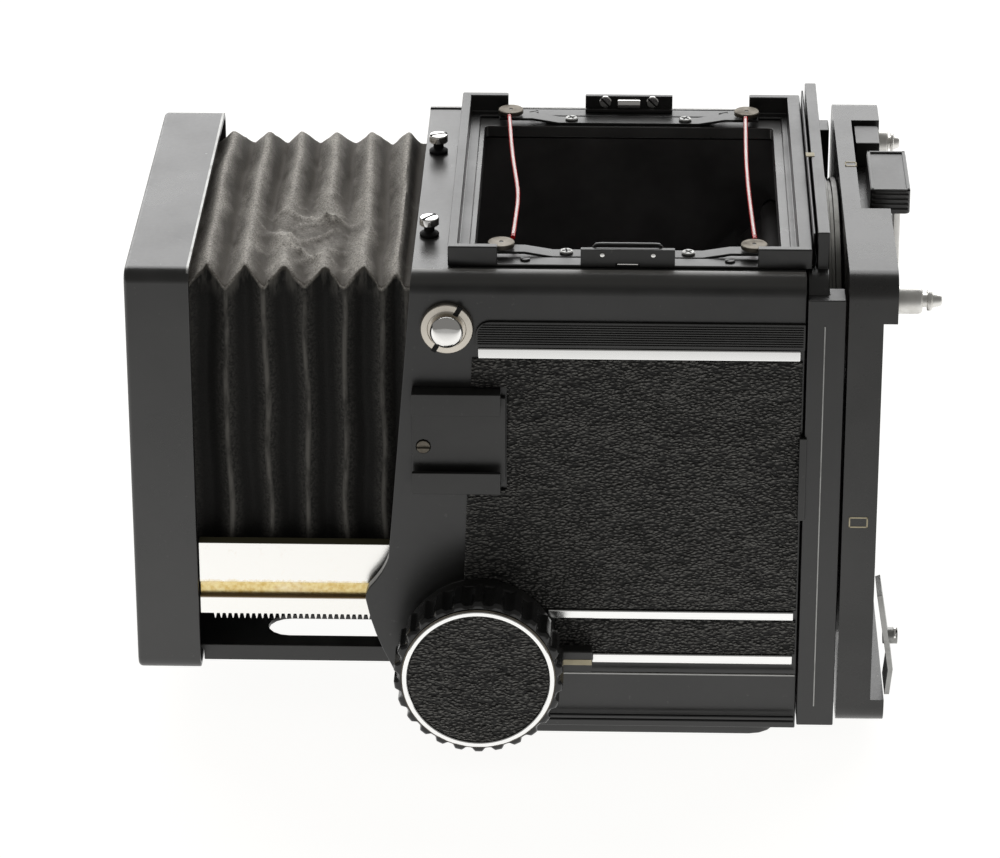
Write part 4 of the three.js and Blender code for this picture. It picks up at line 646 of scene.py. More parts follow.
@dataclass(frozen=True)
class Glossy(Finish):
    """Moulded or painted parts with an even gloss and a soft mottle."""

    gloss: float = 0.4
    mottle: float = 0.3

    def build(self, shader: Shader) -> Shader:
        """A faint mottle and grain."""
        patch = shader.noise(400, 3)
        shader.colour(shader.mixed(shader.ranged(patch, 0.35, 0.75, 0, self.mottle), self.tint,
                                   tuple(part * 0.55 for part in self.tint)))
        shader.rough(shader.ranged(patch, 0.2, 0.8, self.gloss, self.gloss + 0.15))
        shader.relief(shader.bumped(shader.noise(1800, 2), 0.00001, 0.4))
        return shader


ENAMEL = Enamel("black_enamel", (0.0075, 0.0074, 0.007), gloss=0.3, ior=1.62)
# The covers' enamel carries the painted sheen and highlight on its rolled top edges.
COVER_ENAMEL = Enamel("cover_enamel", (0.0075, 0.0074, 0.007), gloss=0.3, ior=1.62, painted_roll_highlight=True)
CASTING_ENAMEL = Enamel("casting_enamel", (0.03, 0.0295, 0.028), gloss=0.3, ior=1.62)
STANDARD_ENAMEL = Enamel("standard_enamel", (0.012, 0.0117, 0.011), gloss=0.28, chips=0.35, ior=1.68)
DECK_ENAMEL = Enamel("deck_enamel", (0.04, 0.0392, 0.038), gloss=0.28, chips=0.3, ior=1.7)
CAST_ENAMEL = Enamel("back_enamel", (0.016, 0.0157, 0.0148), gloss=0.24, chips=0.5, ior=1.55)
BLACK_STEEL = Enamel("black_steel", (0.012, 0.0118, 0.011), gloss=0.3, chips=0.2, metal=0.1, ior=1.6)
KNOB_PLASTIC = Enamel("knob_enamel", (0.008, 0.008, 0.008), gloss=0.16, chips=0.1)
MATT = MattPaint("matt_black_paint", (0.024, 0.0225, 0.0225))
SKIN = Pebbled("leatherette", (0.17, 0.166, 0.156))
CLOTH = DustyCloth("pleated_cloth", (0.014, 0.0135, 0.0125))
CHROME = BareMetal("chrome", (0.88, 0.87, 0.85), gloss=0.06)
TRIM_CHROME = BareMetal("trim_chrome", (0.97, 0.97, 0.96), gloss=0.14)
SATIN = BareMetal("satin_steel", (0.8, 0.79, 0.76), gloss=0.3, brushed=0.6, stained=0.25)
OLD_PLATE = BareMetal("aged_plate", (0.17, 0.152, 0.125), gloss=0.4, stained=0.9, stain=(0.05, 0.038, 0.028))
DULL_STEEL = BareMetal("grey_steel", (0.36, 0.36, 0.35), gloss=0.34, brushed=0.5, stained=0.4,
                       stain=(0.12, 0.11, 0.1))
RING_STEEL = BareMetal("ring_steel", (0.12, 0.118, 0.11), gloss=0.3, brushed=0.5, stained=0.3,
                       stain=(0.05, 0.046, 0.04))
COLLAR_STEEL = BareMetal("collar_plate", (0.74, 0.69, 0.61), gloss=0.26, stained=0.2)
RAIL_STEEL = GreasyRail("rail_steel", (0.97, 0.96, 0.93))
SILVER = BareMetal("silvered_glass", (0.86, 0.88, 0.88), gloss=0.01)
RED_CLEAR = ClearPlastic("red_plastic", (0.8, 0.02, 0.02), depth=0.35)
# A pale rod inside each red line: a painted highlight for its bright centre.
CORE_HIGHLIGHT = Glossy("core_highlight", (0.95, 0.8, 0.77), gloss=0.3, mottle=0.1)
IVORY = Glossy("ivory_mark", (0.6, 0.53, 0.36), gloss=0.5, mottle=0.35)
SLOT_DARK = MattPaint("slot_shadow", (0.003, 0.003, 0.003))
COATS = {"deck_plate": DECK_ENAMEL, "mirror_box": MATT, "bottom_casting": CASTING_ENAMEL,
         "left_side_cover": COVER_ENAMEL, "right_side_cover": COVER_ENAMEL}


# ---------------------------------------------------------------- placing pieces


def placed(form: Form, name: str, finishes: Sequence[Finish], body: str,
           stands_for: Sequence[str] = (), crease: float = 38) -> bpy.types.Object:
    """Turns a form into a piece that rides on a body.

    Args:
        form: The finished form, in millimetres.
        name: The piece's name.
        finishes: Its finishes, in the order that its parts name them.
        body: The body that it rides on.
        stands_for: The CAD nodes that it replaces.
        crease: The angle in degrees past which an edge shades sharp.

    Returns:
        The piece.
    """
    bmesh.ops.scale(form.mesh, verts=form.mesh.verts, vec=(MM, MM, MM))
    data = bpy.data.meshes.new(name)
    form.mesh.to_mesh(data)
    form.mesh.free()
    data.set_sharp_from_angle(angle=math.radians(crease))
    for finish in finishes:
        data.materials.append(finish.made())
    piece = bpy.data.objects.new(name, data)
    bpy.context.scene.collection.objects.link(piece)
    weighted = piece.modifiers.new("even_normals", "WEIGHTED_NORMAL")
    weighted.keep_sharp = True
    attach(piece, body)
    if stands_for:
        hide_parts(*stands_for)
    LOG.info("%s: %d faces on %s", name, len(data.polygons), body)
    return piece


def refined(node: str, finish: Finish, body: str, edge: float = 0.25, segments: int = 2,
            crease: float = 38) -> bpy.types.Object:
    """A CAD node's shape again with its edges rounded, in place of the node."""
    form = Form().take(copied(node), edge=edge, segments=segments)
    return placed(form, f"{node}_finished", [finish], body, [node], crease)


def screw_head(form: Form, axis: Axis, at: Sequence[float], radius: float, height: float,
               slots: int = 1, turn: float = 0.3, steel: int = 0, shadow: int = 1) -> None:
    """Adds a low screw head with its slots to a form.

    Args:
        form: The form to add to.
        axis: The axis that the head faces along.
        at: The middle of the head's foot.
        radius: The head's radius.
        height: The head's height, negative where it faces back along the axis.
        slots: One for a plain slot, two for a cross.
        turn: The first slot's angle in radians.
        steel: The finish number of the metal.
        shadow: The finish number of the slots.
    """
    crown = [(0, 0), (radius, 0), (radius, height * 0.55), (radius * 0.86, height * 0.9), (0, height)]
    form.take(turned(axis, at, crown, 24), steel)
    for number in range(slots):
        length = radius * (0.96 if slots == 1 else 0.62)
        cut = block((-length, -radius * 0.13, height * 0.55), (length, radius * 0.13, height * 1.03))
        spin = Matrix.Rotation(turn + number * math.pi / 2, 4, "Z")
        bmesh.ops.transform(cut, verts=cut.verts, matrix=Matrix.Translation(Vector(at)) @ axis.value @ spin)
        form.take(tidy(cut), shadow)


# ---------------------------------------------------------------- sub-assemblies


@dataclass(frozen=True)
class ClothSizes:
    """The bellows' sizes in millimetres."""

    first_crest: float = -70.45
    crest_skew: float = -0.35
    pitch: float = 8.27
    pitch_skew: float = -0.23
    fold: float = 4.6
    near_loss: float = 1.0
    lip: float = 1.2
    corner: float = 1.2
    thickness: float = 0.45
    cells_along: int = 110
    cuts_across: int = 64
    draw: float = 46.0
    crush_centre: Pair = (-49, -19)
    crush_reach: Pair = (9.5, 17)


class Bellows:
    """The pleated cloth between the standard and the body."""

    def __init__(self, sizes: ClothSizes = ClothSizes()) -> None:
        """Keeps the sizes and the cloth's box.

        Args:
            sizes: The sizes to build to.
        """
        self.sizes = sizes
        self.low, self.high = span("bellows")

    def fold_at(self, at: Vector, sharp: float) -> float:
        """How high the cloth stands: 1 on a top ridge, 0 in a valley.

        Args:
            at: The point on the plain tube.
            sharp: 0 for a rounded wave, up to nearly 1 for sharp creases.

        Returns:
            The height's share.
        """
        share = at.y / self.high.y
        start = self.sizes.first_crest + self.sizes.crest_skew * share
        pitch = self.sizes.pitch + self.sizes.pitch_skew * share
        wave = math.cos(2 * math.pi * (at.x - start) / pitch)
        return 0.5 + math.asin(sharp * wave) / (2 * math.asin(sharp))

    def shaped(self, at: Vector) -> tuple[Vector, float, float]:
        """Where a point of the plain tube lies once the cloth is folded, crumpled and crushed.

        Args:
            at: The point on the plain tube.

        Returns:
            Its place, its crest light (how far it stands out on a crest, raised on one face of each top pleat
            and along the crush's creases as painted light), and how near a corner it is.
        """
        centre_z = (self.low.z + self.high.z) / 2
        half_y, half_z = self.high.y, (self.high.z - self.low.z) / 2
        end = min(at.x - self.low.x, self.high.x - at.x)
        ease = min(1.0, max(0.0, (end - self.sizes.lip) / 2.0))
        share_y, share_z = at.y / half_y, (at.z - centre_z) / half_z
        near_corner = min(1.0, max(0.0, (min(abs(share_y), abs(share_z)) - 0.86) / 0.14))
        waver = noise.noise(Vector((at.x * 0.05, at.y * 0.05, at.z * 0.05)))
        ripple = noise.noise(Vector((at.x * 0.33, at.y * 0.13, at.z * 0.13)) + Vector((7, 3, 1)))
        fine = noise.noise(Vector((at.x * 1.1, at.y * 0.8, at.z * 0.8)) + Vector((2, 9, 4)))
        bent = Vector((at.x + 0.9 * waver, at.y, at.z))
        fold = self.fold_at(bent, 0.9 + 0.08 * near_corner) * ease
        depth = self.sizes.fold - self.sizes.near_loss * (0.5 - 0.5 * share_y)
        crumple = ease * near_corner * noise.noise(Vector((at.x * 0.6, share_y * 5, share_z * 5)))
        crumple *= 1.0 if at.y < 0 else 0.3
        in_z = depth * (1 - fold) + ease * 0.3 * abs(ripple) + 0.9 * abs(crumple)
        in_y = depth * fold * (0.75 + 0.25 * near_corner) + ease * 0.2 * abs(fine) + 1.1 * abs(crumple)
        moved = Vector((at.x + 0.6 * crumple, at.y, at.z))
        moved.y = at.y * (1 - in_y / half_y)
        moved.z = centre_z + (at.z - centre_z) * (1 - in_z / half_z)
        flat_top = abs(share_z) > abs(share_y)
        step = Vector((0.3, 0, 0))
        # One face of each top pleat is painted paler from the fold's slope, as if lit from one side.
        tilt = ease * (self.fold_at(bent + step, 0.9) - self.fold_at(bent - step, 0.9))
        crest_light = fold + 1.6 * tilt if flat_top else 1 - fold
        if share_z > 0.97:
            (x0, y0), (reach_x, reach_y) = self.sizes.crush_centre, self.sizes.crush_reach
            crush = math.exp(-((at.x - x0) / reach_x) ** 2 - ((at.y - y0) / reach_y) ** 2) * ease
            crease = abs(math.sin(0.19 * at.y + 0.16 * at.x + 2.4 * waver + 0.5 * ripple))
            cross = abs(math.sin(0.3 * at.y - 0.2 * at.x + 1.2 * ripple))
            flat = self.high.z - depth * 0.55 + 1.5 * (1 - crease) ** 5 + 0.9 * (1 - cross) ** 6 + 0.3 * fine
            share = min(1.0, 1.2 * crush)
            moved.z += (flat - moved.z) * share
            # In the crush the crest value is set to a middling level with paler crease lines: painted light on
            # the crumples.
            crest_light += (0.36 + 0.9 * (1 - crease) ** 5 + 0.6 * (1 - cross) ** 7 - crest_light) * share
            moved.z = min(moved.z + ease * (0.3 * ripple + 0.15 * fine), self.high.z)
        return moved, crest_light, near_corner

    def tube(self) -> BMesh:
        """The tube with its folds, given a thickness inwards, and its crest light, which paints light and shade
        on the folds, and its corners marked for the finish.
        """
        mesh = bmesh.new()
        outline = rounded((-self.high.y, self.low.z), (self.high.y, self.high.z), self.sizes.corner, 4)
        verts = [mesh.verts.new((self.low.x, y, z)) for y, z in outline]
        edges = [mesh.edges.new((a, b)) for a, b in zip(verts, [*verts[1:], verts[0]])]
        long_edges = [e for e in edges if e.calc_length() > 20]
        bmesh.ops.subdivide_edges(mesh, edges=long_edges, cuts=self.sizes.cuts_across)
        length = self.high.x - self.low.x
        count = self.sizes.cells_along
        bmesh.ops.spin(mesh, geom=[*mesh.verts, *mesh.edges], cent=(0, 0, 0), axis=(1, 0, 0),
                       dvec=(length / count, 0, 0), angle=0, steps=count, use_merge=False,
                       use_duplicate=False)
        tidy(mesh)
        crest_light_layer = mesh.verts.layers.float.new("crest_light")
        corners = mesh.verts.layers.float.new("corner")
        for vert in mesh.verts:
            vert.co, vert[crest_light_layer], vert[corners] = self.shaped(vert.co)
        mesh.normal_update()
        outward = sum(f.normal.z for f in mesh.faces if f.calc_center_median().z > self.high.z - 6)
        if outward < 0:
            bmesh.ops.reverse_faces(mesh, faces=mesh.faces)
        bmesh.ops.solidify(mesh, geom=mesh.faces, thickness=self.sizes.thickness)
        return mesh

    def build(self) -> None:
        """Places the cloth on the body, with its own mesh and no modifiers."""
        form = Form(self.tube())
        for face in form.mesh.faces:
            face.smooth = True
        cloth = placed(form, "bellows_cloth", [CLOTH], "body", ["bellows"], 60)
        cloth.modifiers.clear()
        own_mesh(cloth)


@dataclass(frozen=True)
class SkinSizes:
    """How the leatherette is built, in millimetres."""

    cell: float = 0.42
    relief: float = 0.34
    stretch: Pair = (0.5, 0.95)
    edge_drop: float = 0.25


class Shell:
    """The covers with their skins, trims, plates, lugs and shoe, and the castings between them."""

    plain = {
        "left_side_cover": 0.6, "right_side_cover": 0.6, "front_frame": 0.4, "deck_plate": 0.35,
        "mirror_box": 0.3, "bottom_casting": 0.4, "base_plate": 0.5,
    }
    notch_turn = -1.05

    def __init__(self, skins: SkinSizes = SkinSizes()) -> None:
        """Keeps the skins' sizes.

        Args:
            skins: How the leatherette is built.
        """
        self.skins = skins

    def skin(self, node: str) -> None:
        """One panel of leatherette with its wrinkles in the mesh.

        Args:
            node: The CAD node that it stands for.
        """
        mesh = copied(node)
        low, high = span(node)
        side = -1 if low.y < 0 else 1
        step = self.skins.cell
        for axis, start, end in ((Vector((1, 0, 0)), low.x, high.x), (Vector((0, 0, 1)), low.z, high.z)):
            for cut in range(1, int((end - start) / step)):
                point = axis * (start + cut * step)
                bmesh.ops.bisect_plane(mesh, geom=[*mesh.verts, *mesh.edges, *mesh.faces], dist=1e-4,
                                       plane_co=point, plane_no=axis)
        outer = high.y if side > 0 else low.y
        stretch_x, stretch_z = self.skins.stretch
        for vert in mesh.verts:
            if abs(vert.co.y - outer) > 0.05:
                continue
            x, z = vert.co.x, vert.co.z
            wrinkle = noise.noise(Vector((x * stretch_x, z * stretch_z, side * 3)))
            small = noise.noise(Vector((x * stretch_x * 2.3, z * stretch_z * 2.1, side * 5)))
            depth = abs(wrinkle) * 1.3 + abs(small) * 0.6
            lift = self.skins.relief * (0.45 - min(1.0, depth * 1.6))
            rim = any(e.is_boundary or e.calc_face_angle(0) > 0.7 for e in vert.link_edges)
            vert.co.y += side * (-self.skins.edge_drop if rim else min(0.05, lift))
        form = Form().take(mesh)
        placed(form, f"{node}_wrinkled", [SKIN], "body", [node], 50)

    def skin_pieces(self) -> None:
        """All three skins."""
        for node in ("left_leatherette", "left_lower_leatherette", "right_leatherette"):
            self.skin(node)

    def trims(self) -> None:
        """The bright trims, and the one on the right side that mirrors them."""
        for node in ("left_upper_trim", "left_middle_trim", "left_lower_trim"):
            refined(node, TRIM_CHROME, "body", 0.28, 3)
        low, high = span("left_upper_trim")
        strip = block((low.x, 52.1, low.z), (high.x, 53.0, high.z))
        placed(Form().take(strip, edge=0.28, segments=3), "right_upper_trim", [TRIM_CHROME], "body")

    def name_plate(self, node: str) -> None:
        """A plate with fine level ribs and no lettering.

        Args:
            node: The CAD node that it stands for.
        """
        low, high = span(node)
        side = -1 if low.y < 0 else 1
        inner, outer = (low.y, high.y) if side > 0 else (high.y, low.y)
        front = low.x
        outline = [(front, low.z), (high.x, low.z), (high.x, high.z)]
        corner = 3.2
        for step in range(7):
            angle = math.pi / 2 + step / 6 * math.pi / 2
            outline.append((front + corner + corner * math.cos(angle),
                            high.z - corner + corner * math.sin(angle)))
        form = Form().take(prism(Plane.ALONG_Y, outline, inner, outer - side * 0.3), 0, 0.12)
        ribs = 9
        pitch = (high.z - low.z - 1.0) / ribs
        for rib in range(ribs):
            at = low.z + 0.5 + (rib + 0.5) * pitch
            past = max(0.0, at - high.z + corner)
            inset = 0.5 + max(0.0, corner - math.sqrt(max(0.0, corner ** 2 - past ** 2)))
            bar = block((front + inset, min(inner, outer), at - pitch * 0.26),
                        (high.x - 0.4, max(inner, outer), at + pitch * 0.26))
            form.take(bar, 0, 0.1)
        placed(form, f"{node}_ribbed", [CAST_ENAMEL], "body", [node])

    def strap_lug(self, node: str) -> None:
        """A slotted collar, a neck and a domed stud.

        Args:
            node: The CAD node that it stands for.
        """
        low, high = span(node)
        side = -1 if low.y < 0 else 1
        base = high.y if side < 0 else low.y
        at = ((low.x + high.x) / 2, base, (low.z + high.z) / 2)
        collar = [(0, 0), (5.7, 0), (5.7, 1.0), (5.45, 1.35), (4.2, 1.4), (4.05, 1.15), (0, 1.15)]
        stud = [(0, 0.8), (2.2, 0.8), (2.2, 1.9), (3.3, 2.2), (3.6, 2.7), (3.5, 3.25), (3.0, 3.9), (2.2, 4.3),
                (1.2, 4.5), (0, 4.56)]
        form = Form()
        form.take(turned(Axis.Y, at, [(r, side * y) for r, y in collar], 48), 0)
        form.take(turned(Axis.Y, at, [(r, side * y) for r, y in stud], 48), 1)
        for turn in (self.notch_turn, self.notch_turn + math.pi):
            cut = block((3.6, -0.55, 1.0), (5.9, 0.55, 1.42))
            spin = Matrix.Rotation(turn, 4, "Z")
            flip = Matrix.Scale(side, 4, (0, 0, 1))
            move = Matrix.Translation(Vector(at)) @ Axis.Y.value @ flip @ spin
            bmesh.ops.transform(cut, verts=cut.verts, matrix=move)
            form.take(tidy(cut), 2)
        placed(form, f"{node}_turned", [COLLAR_STEEL, CHROME, SLOT_DARK], "body", [node])

    def seams_and_highlight(self) -> None:
        """Thin lines and a small fitting on the covers' left side: a grey line, dark seam lines, a black block,
        and a grey strip that paints the highlight on a chamfered edge.
        """
        low, high = span("left_side_cover")
        behind_knob, rear = low.x + 24, high.x - 0.4
        form = Form()
        for proud, foot, top, finish, edge in ((0.25, 16.6, 17.0, 0, 0.1), (0.18, 6.2, 6.5, 1, 0.05),
                                               (0.18, 5.1, 5.4, 1, 0.05)):
            form.take(block((behind_knob, low.y - proud, foot), (rear, low.y + 0.4, top)), finish, edge)
        form.take(block((57.3, -53.9, 54.5), (58.9, -52.4, 74)), 2, 0.25)
        # A thin grey strip standing in for the highlight on a chamfered edge: a painted highlight.
        form.take(block((61.9, -53.4, 9), (62.2, -53.0, 100)), 0, 0.1)
        placed(form, "left_seam_and_highlight_lines", [DULL_STEEL, SLOT_DARK, BLACK_STEEL], "body")

    def build(self) -> None:
        """Builds the shell's pieces."""
        for node, edge in self.plain.items():
            coat = COATS.get(node, ENAMEL)
            refined(node, coat, "body", edge, 2 if edge < 0.5 else 3)
        self.skin_pieces()
        self.trims()
        for side in ("left", "right"):
            self.name_plate(f"{side}_plate")
            self.strap_lug(f"{side}_strap_lug")
        refined("accessory_shoe", BLACK_STEEL, "body", 0.15)
        refined("shoe_screw", OLD_PLATE, "body", 0.12)
        refined("tripod_socket", DULL_STEEL, "body", 0.2)
        self.seams_and_highlight()


@dataclass(frozen=True)
class FinderSeat:
    """The open frame on the deck with its catches, leaf bars, screws, discs and format lines."""

    catch_outer: float = 46.5
    catch_wall: float = 45.2
    catch_foot: float = 43.9
    rivet_inset: float = 4.6
    line_radius: float = 0.5
    core_radius: float = 0.3
    core_inset: float = 1.6
    core_lift: float = 0.26
    line_steps: int = 12
    leaf_screw_y: float = 39.6
    dark_screw_y: float = 43.6

    def catch(self, node: str, bright: bool) -> None:
        """A catch: a black plate with two rivets and a bent lip, or with screws and a roller.

        Args:
            node: The CAD node that it stands for.
            bright: Whether it is the far one, with a bright roller.
        """
        low, high = span(node)
        side = -1 if low.y < 0 else 1
        outer, wall, foot = side * self.catch_outer, side * self.catch_wall, side * self.catch_foot
        form = Form()
        form.take(block((low.x, min(wall, outer), low.z - 0.5), (high.x, max(wall, outer), high.z + 0.6)),
                  0, 0.2)
        form.take(block((low.x, min(wall, foot), low.z), (high.x, max(wall, foot), low.z + 0.8)), 0, 0.15)
        middle_x = (low.x + high.x) / 2
        for x in (low.x + self.rivet_inset, high.x - self.rivet_inset):
            if bright:
                screw_head(form, Axis.Y, (x, wall, 112.9), 1.45, -0.7, 1, 0.8, 1, 2)
            else:
                form.take(rod(Axis.Y, (x, outer, 113.1), 0.5, 0, -0.3, 20), 1, 0.1)
        if bright:
            form.take(rod(Axis.X, (middle_x, wall - 0.6, 112.6), 1.1, -2.6, 2.6, 24), 1, 0.2)
        else:
            lip = [(-7.6, 0), (-6.8, 0.9), (-5.6, 1.0), (5.6, 1.0), (6.8, 0.9), (7.6, 0), (7.1, -0.1),
                   (6.5, 0.55), (5.5, 0.6), (-5.5, 0.6), (-6.5, 0.55), (-7.1, -0.1)]
            outline = [(middle_x + u, high.z + 0.5 + v) for u, v in lip]
            form.take(prism(Plane.ALONG_Y, outline, wall + 0.1, wall + 0.7), 0, 0.1)
            form.take(block((middle_x - 2.6, outer - 0.1, low.z - 0.3),
                            (middle_x + 2.6, outer + 0.1, low.z + 0.5)), 2)
            form.take(block((middle_x - 2.2, outer - 0.15, low.z + 0.2),
                            (middle_x + 2.2, outer, low.z + 0.4)), 1)
        placed(form, f"{node}_fitted", [BLACK_STEEL, CHROME, SLOT_DARK], "body", [node])

    def deck_screw(self, node: str, turn: float) -> None:
        """A waisted screw with a dark neck and a slotted head.

        Args:
            node: The CAD node that it stands for.
            turn: The slot's angle in radians.
        """
        low, high = span(node)
        at = ((low.x + high.x) / 2, (low.y + high.y) / 2, low.z)
        form = Form()
        foot = [(0, 0), (2.1, 0), (2.1, 0.55), (1.9, 0.75), (1.15, 1.1), (1.15, 2.45), (0, 2.45)]
        head = [(0, 2.4), (1.9, 2.4), (2.1, 2.65), (2.1, 3.95), (1.9, 4.25), (1.3, 4.36), (0, 4.38)]
        form.take(turned(Axis.Z, at, foot, 32), 1)
        form.take(turned(Axis.Z, at, head, 40), 0)
        cut = block((-2.0, -0.28, 3.9), (2.0, 0.28, 4.4))
        move = Matrix.Translation(Vector(at)) @ Matrix.Rotation(turn, 4, "Z")
        bmesh.ops.transform(cut, verts=cut.verts, matrix=move)
        form.take(cut, 2)
        placed(form, f"{node}_turned", [CHROME, SLOT_DARK, SLOT_DARK], "body", [node])

    def disc(self, node: str) -> None:
        """A mottled disc with a hole at its middle.

        Args:
            node: The CAD node that it stands for.
        """
        low, high = span(node)
        at = ((low.x + high.x) / 2, (low.y + high.y) / 2, low.z)
        top = high.z - low.z
        outline = [(0.4, 0), (2.85, 0), (2.85, top - 0.15), (2.7, top), (0.5, top), (0.4, top - 0.1), (0.4, 0)]
        form = Form().take(turned(Axis.Z, at, outline, 48), 0)
        form.take(rod(Axis.Z, at, 0.36, 0.1, top - 0.1, 20), 1)
        placed(form, f"{node}_turned", [OLD_PLATE, BLACK_STEEL], node, [node])

    def line(self, node: str) -> None:
        """A clear red line with a pale rod inside, lifted towards its top, that paints the bright centre the
        line shows in the light.

        Args:
            node: The CAD node that it stands for.
        """
        low, high = span(node)
        source = copied(node)
        sides = sorted(source.verts, key=lambda v: v.co.y)
        count = self.line_steps
        groups: list[list[BMVert]] = [[] for _ in range(count + 1)]
        for vert in sides:
            groups[round((vert.co.y - low.y) / (high.y - low.y) * count)].append(vert)
        path = [sum((v.co for v in group), Vector()) / len(group) for group in groups if group]
        source.free()
        for _ in range(2):
            cut = [a.lerp(b, share) for a, b in zip(path, path[1:]) for share in (0.25, 0.75)]
            path = [path[0], *cut, path[-1]]
        form = Form()
        # The second, thinner tube is the pale core: a painted highlight lifted towards the top of the red line.
        for radius, finish, reach in ((self.line_radius, 0, 0.0), (self.core_radius, 1, self.core_inset)):
            tube = bmesh.new()
            bmesh.ops.create_circle(tube, cap_ends=True, radius=radius, segments=16,
                                    matrix=Matrix.Translation(path[0] + Vector((0, reach, 0))) @ Axis.Y.value)
            for index, point in enumerate(path[1:], 1):
                last = max(tube.faces, key=lambda f: f.calc_center_median().y)
                grown = bmesh.ops.extrude_face_region(tube, geom=[last])
                verts = [v for v in grown["geom"] if isinstance(v, BMVert)]
                goal = point - (Vector((0, reach, 0)) if index == len(path) - 1 else Vector())
                here = sum((v.co for v in verts), Vector()) / len(verts)
                bmesh.ops.translate(tube, verts=verts, vec=goal - here)
                if last.is_valid and index > 1:
                    bmesh.ops.delete(tube, geom=[last], context="FACES_ONLY")
            bmesh.ops.translate(tube, verts=tube.verts, vec=(0, -0.1 * finish, self.core_lift * finish))
            form.take(tidy(tube), finish)
        placed(form, f"{node}_clear", [RED_CLEAR, CORE_HIGHLIGHT], node, [node])

    def leaf_screws(self) -> None:
        """Small cross-slotted screws through the bars, and the dark ones beyond them."""
        form = Form()
        for side in (-1, 1):
            for x, turn in ((7.1, 0.3), (33.1, 0.9)):
                screw_head(form, Axis.Z, (x, side * self.leaf_screw_y, 110.7), 1.45, 0.55, 2, turn + side * 0.2)
            for x in (-1.6, 41.9):
                screw_head(form, Axis.Z, (x, side * self.dark_screw_y, 110.65), 1.1, 0.4, 1, 0.5, 2, 1)
        placed(form, "leaf_screws", [DULL_STEEL, SLOT_DARK, BLACK_STEEL], "body")

    def build(self) -> None:
        """Builds the finder seat's pieces."""
        refined("finder_frame", ENAMEL, "body", 0.3)
        self.catch("left_finder_catch", False)
        self.catch("right_finder_catch", True)
        self.deck_screw("left_deck_screw", 0.9)
        self.deck_screw("right_deck_screw", 0.4)
        for side in ("left", "right"):
            refined(f"{side}_leaf_bar", BLACK_STEEL, "body", 0.12)
            self.disc(f"front_{side}_disc")
            self.disc(f"rear_{side}_disc")
        self.line("front_format_line")
        self.line("rear_format_line")
        self.leaf_screws()


@dataclass(frozen=True)
class FrontStandard:
    """The moving front with its mount, cocking ring, rails and slide plate."""

    front_edge: float = 1.6
    rear_edge: float = 0.3
    lip_corner: float = 2.9
    lip_width: float = 0.5
    lip_thickness: float = 0.2

    def standard(self) -> None:
        """The shell, with generous rounding round its front rim and a slight rounding at its rear edge."""
        mesh = copied("front_standard")
        low, high = span("front_standard")

        def on_front_rim(edge: BMEdge) -> bool:
            """Whether an edge runs round the outside of the front face."""
            return all(v.co.x < low.x + 0.1 and (abs(v.co.y) > 40 or v.co.z > 100 or v.co.z < 20)
                       for v in edge.verts)

        soften(mesh, self.front_edge, 4, 30, on_front_rim)
        soften(mesh, self.rear_edge, 2, 40, lambda e: all(v.co.x > high.x - 0.1 for v in e.verts))
        form = Form().take(mesh)
        placed(form, "front_standard_finished", [STANDARD_ENAMEL], "front_standard",
               ["front_standard"])

    def lip(self) -> None:
        """The thin bright edge where the shell's top is folded at its rear."""
        low, high = span("front_standard")
        outline = rounded((low.y + 0.1, low.z + 0.1), (high.y - 0.1, high.z - 0.1), self.lip_corner)
        mesh = bmesh.new()
        verts = [mesh.verts.new((high.x - 0.55, y, z)) for y, z in outline]
        edges = [mesh.edges.new(pair) for pair in zip(verts, [*verts[1:], verts[0]])]
        grown = bmesh.ops.extrude_edge_only(mesh, edges=edges)
        bmesh.ops.translate(mesh, verts=[v for v in grown["geom"] if isinstance(v, BMVert)],
                            vec=(self.lip_width, 0, 0))
        low_faces = [f for f in mesh.faces if f.calc_center_median().z < high.z - 1]
        bmesh.ops.delete(mesh, geom=low_faces, context="FACES")
        tidy(mesh)
        bmesh.ops.solidify(mesh, geom=mesh.faces, thickness=-self.lip_thickness)
        tidy(mesh)
        placed(Form().take(mesh), "standard_folded_lip", [DULL_STEEL], "front_standard")

    def build(self) -> None:
        """Builds the moving front's pieces."""
        self.standard()
        self.lip()
        refined("lens_mount_ring", CHROME, "front_standard", 0.3)
        refined("cocking_ring", BLACK_STEEL, "cocking_ring", 0.2)
        for side in ("left", "right"):
            refined(f"{side}_rail", RAIL_STEEL, "front_standard", 0.12)
        refined("slide_plate", BLACK_STEEL, "front_standard", 0.2)


@dataclass(frozen=True)
class KnobSizes:
    """A focus knob's sizes in millimetres."""

    radius: float = 18.4
    ribs: int = 26
    groove: float = 0.9
    samples: int = 12
    edge: float = 1.1
    rib_foot: float = 17.0
    inlay: float = 15.25
    inlay_depth: float = 0.62
    inlay_cell: float = 0.4


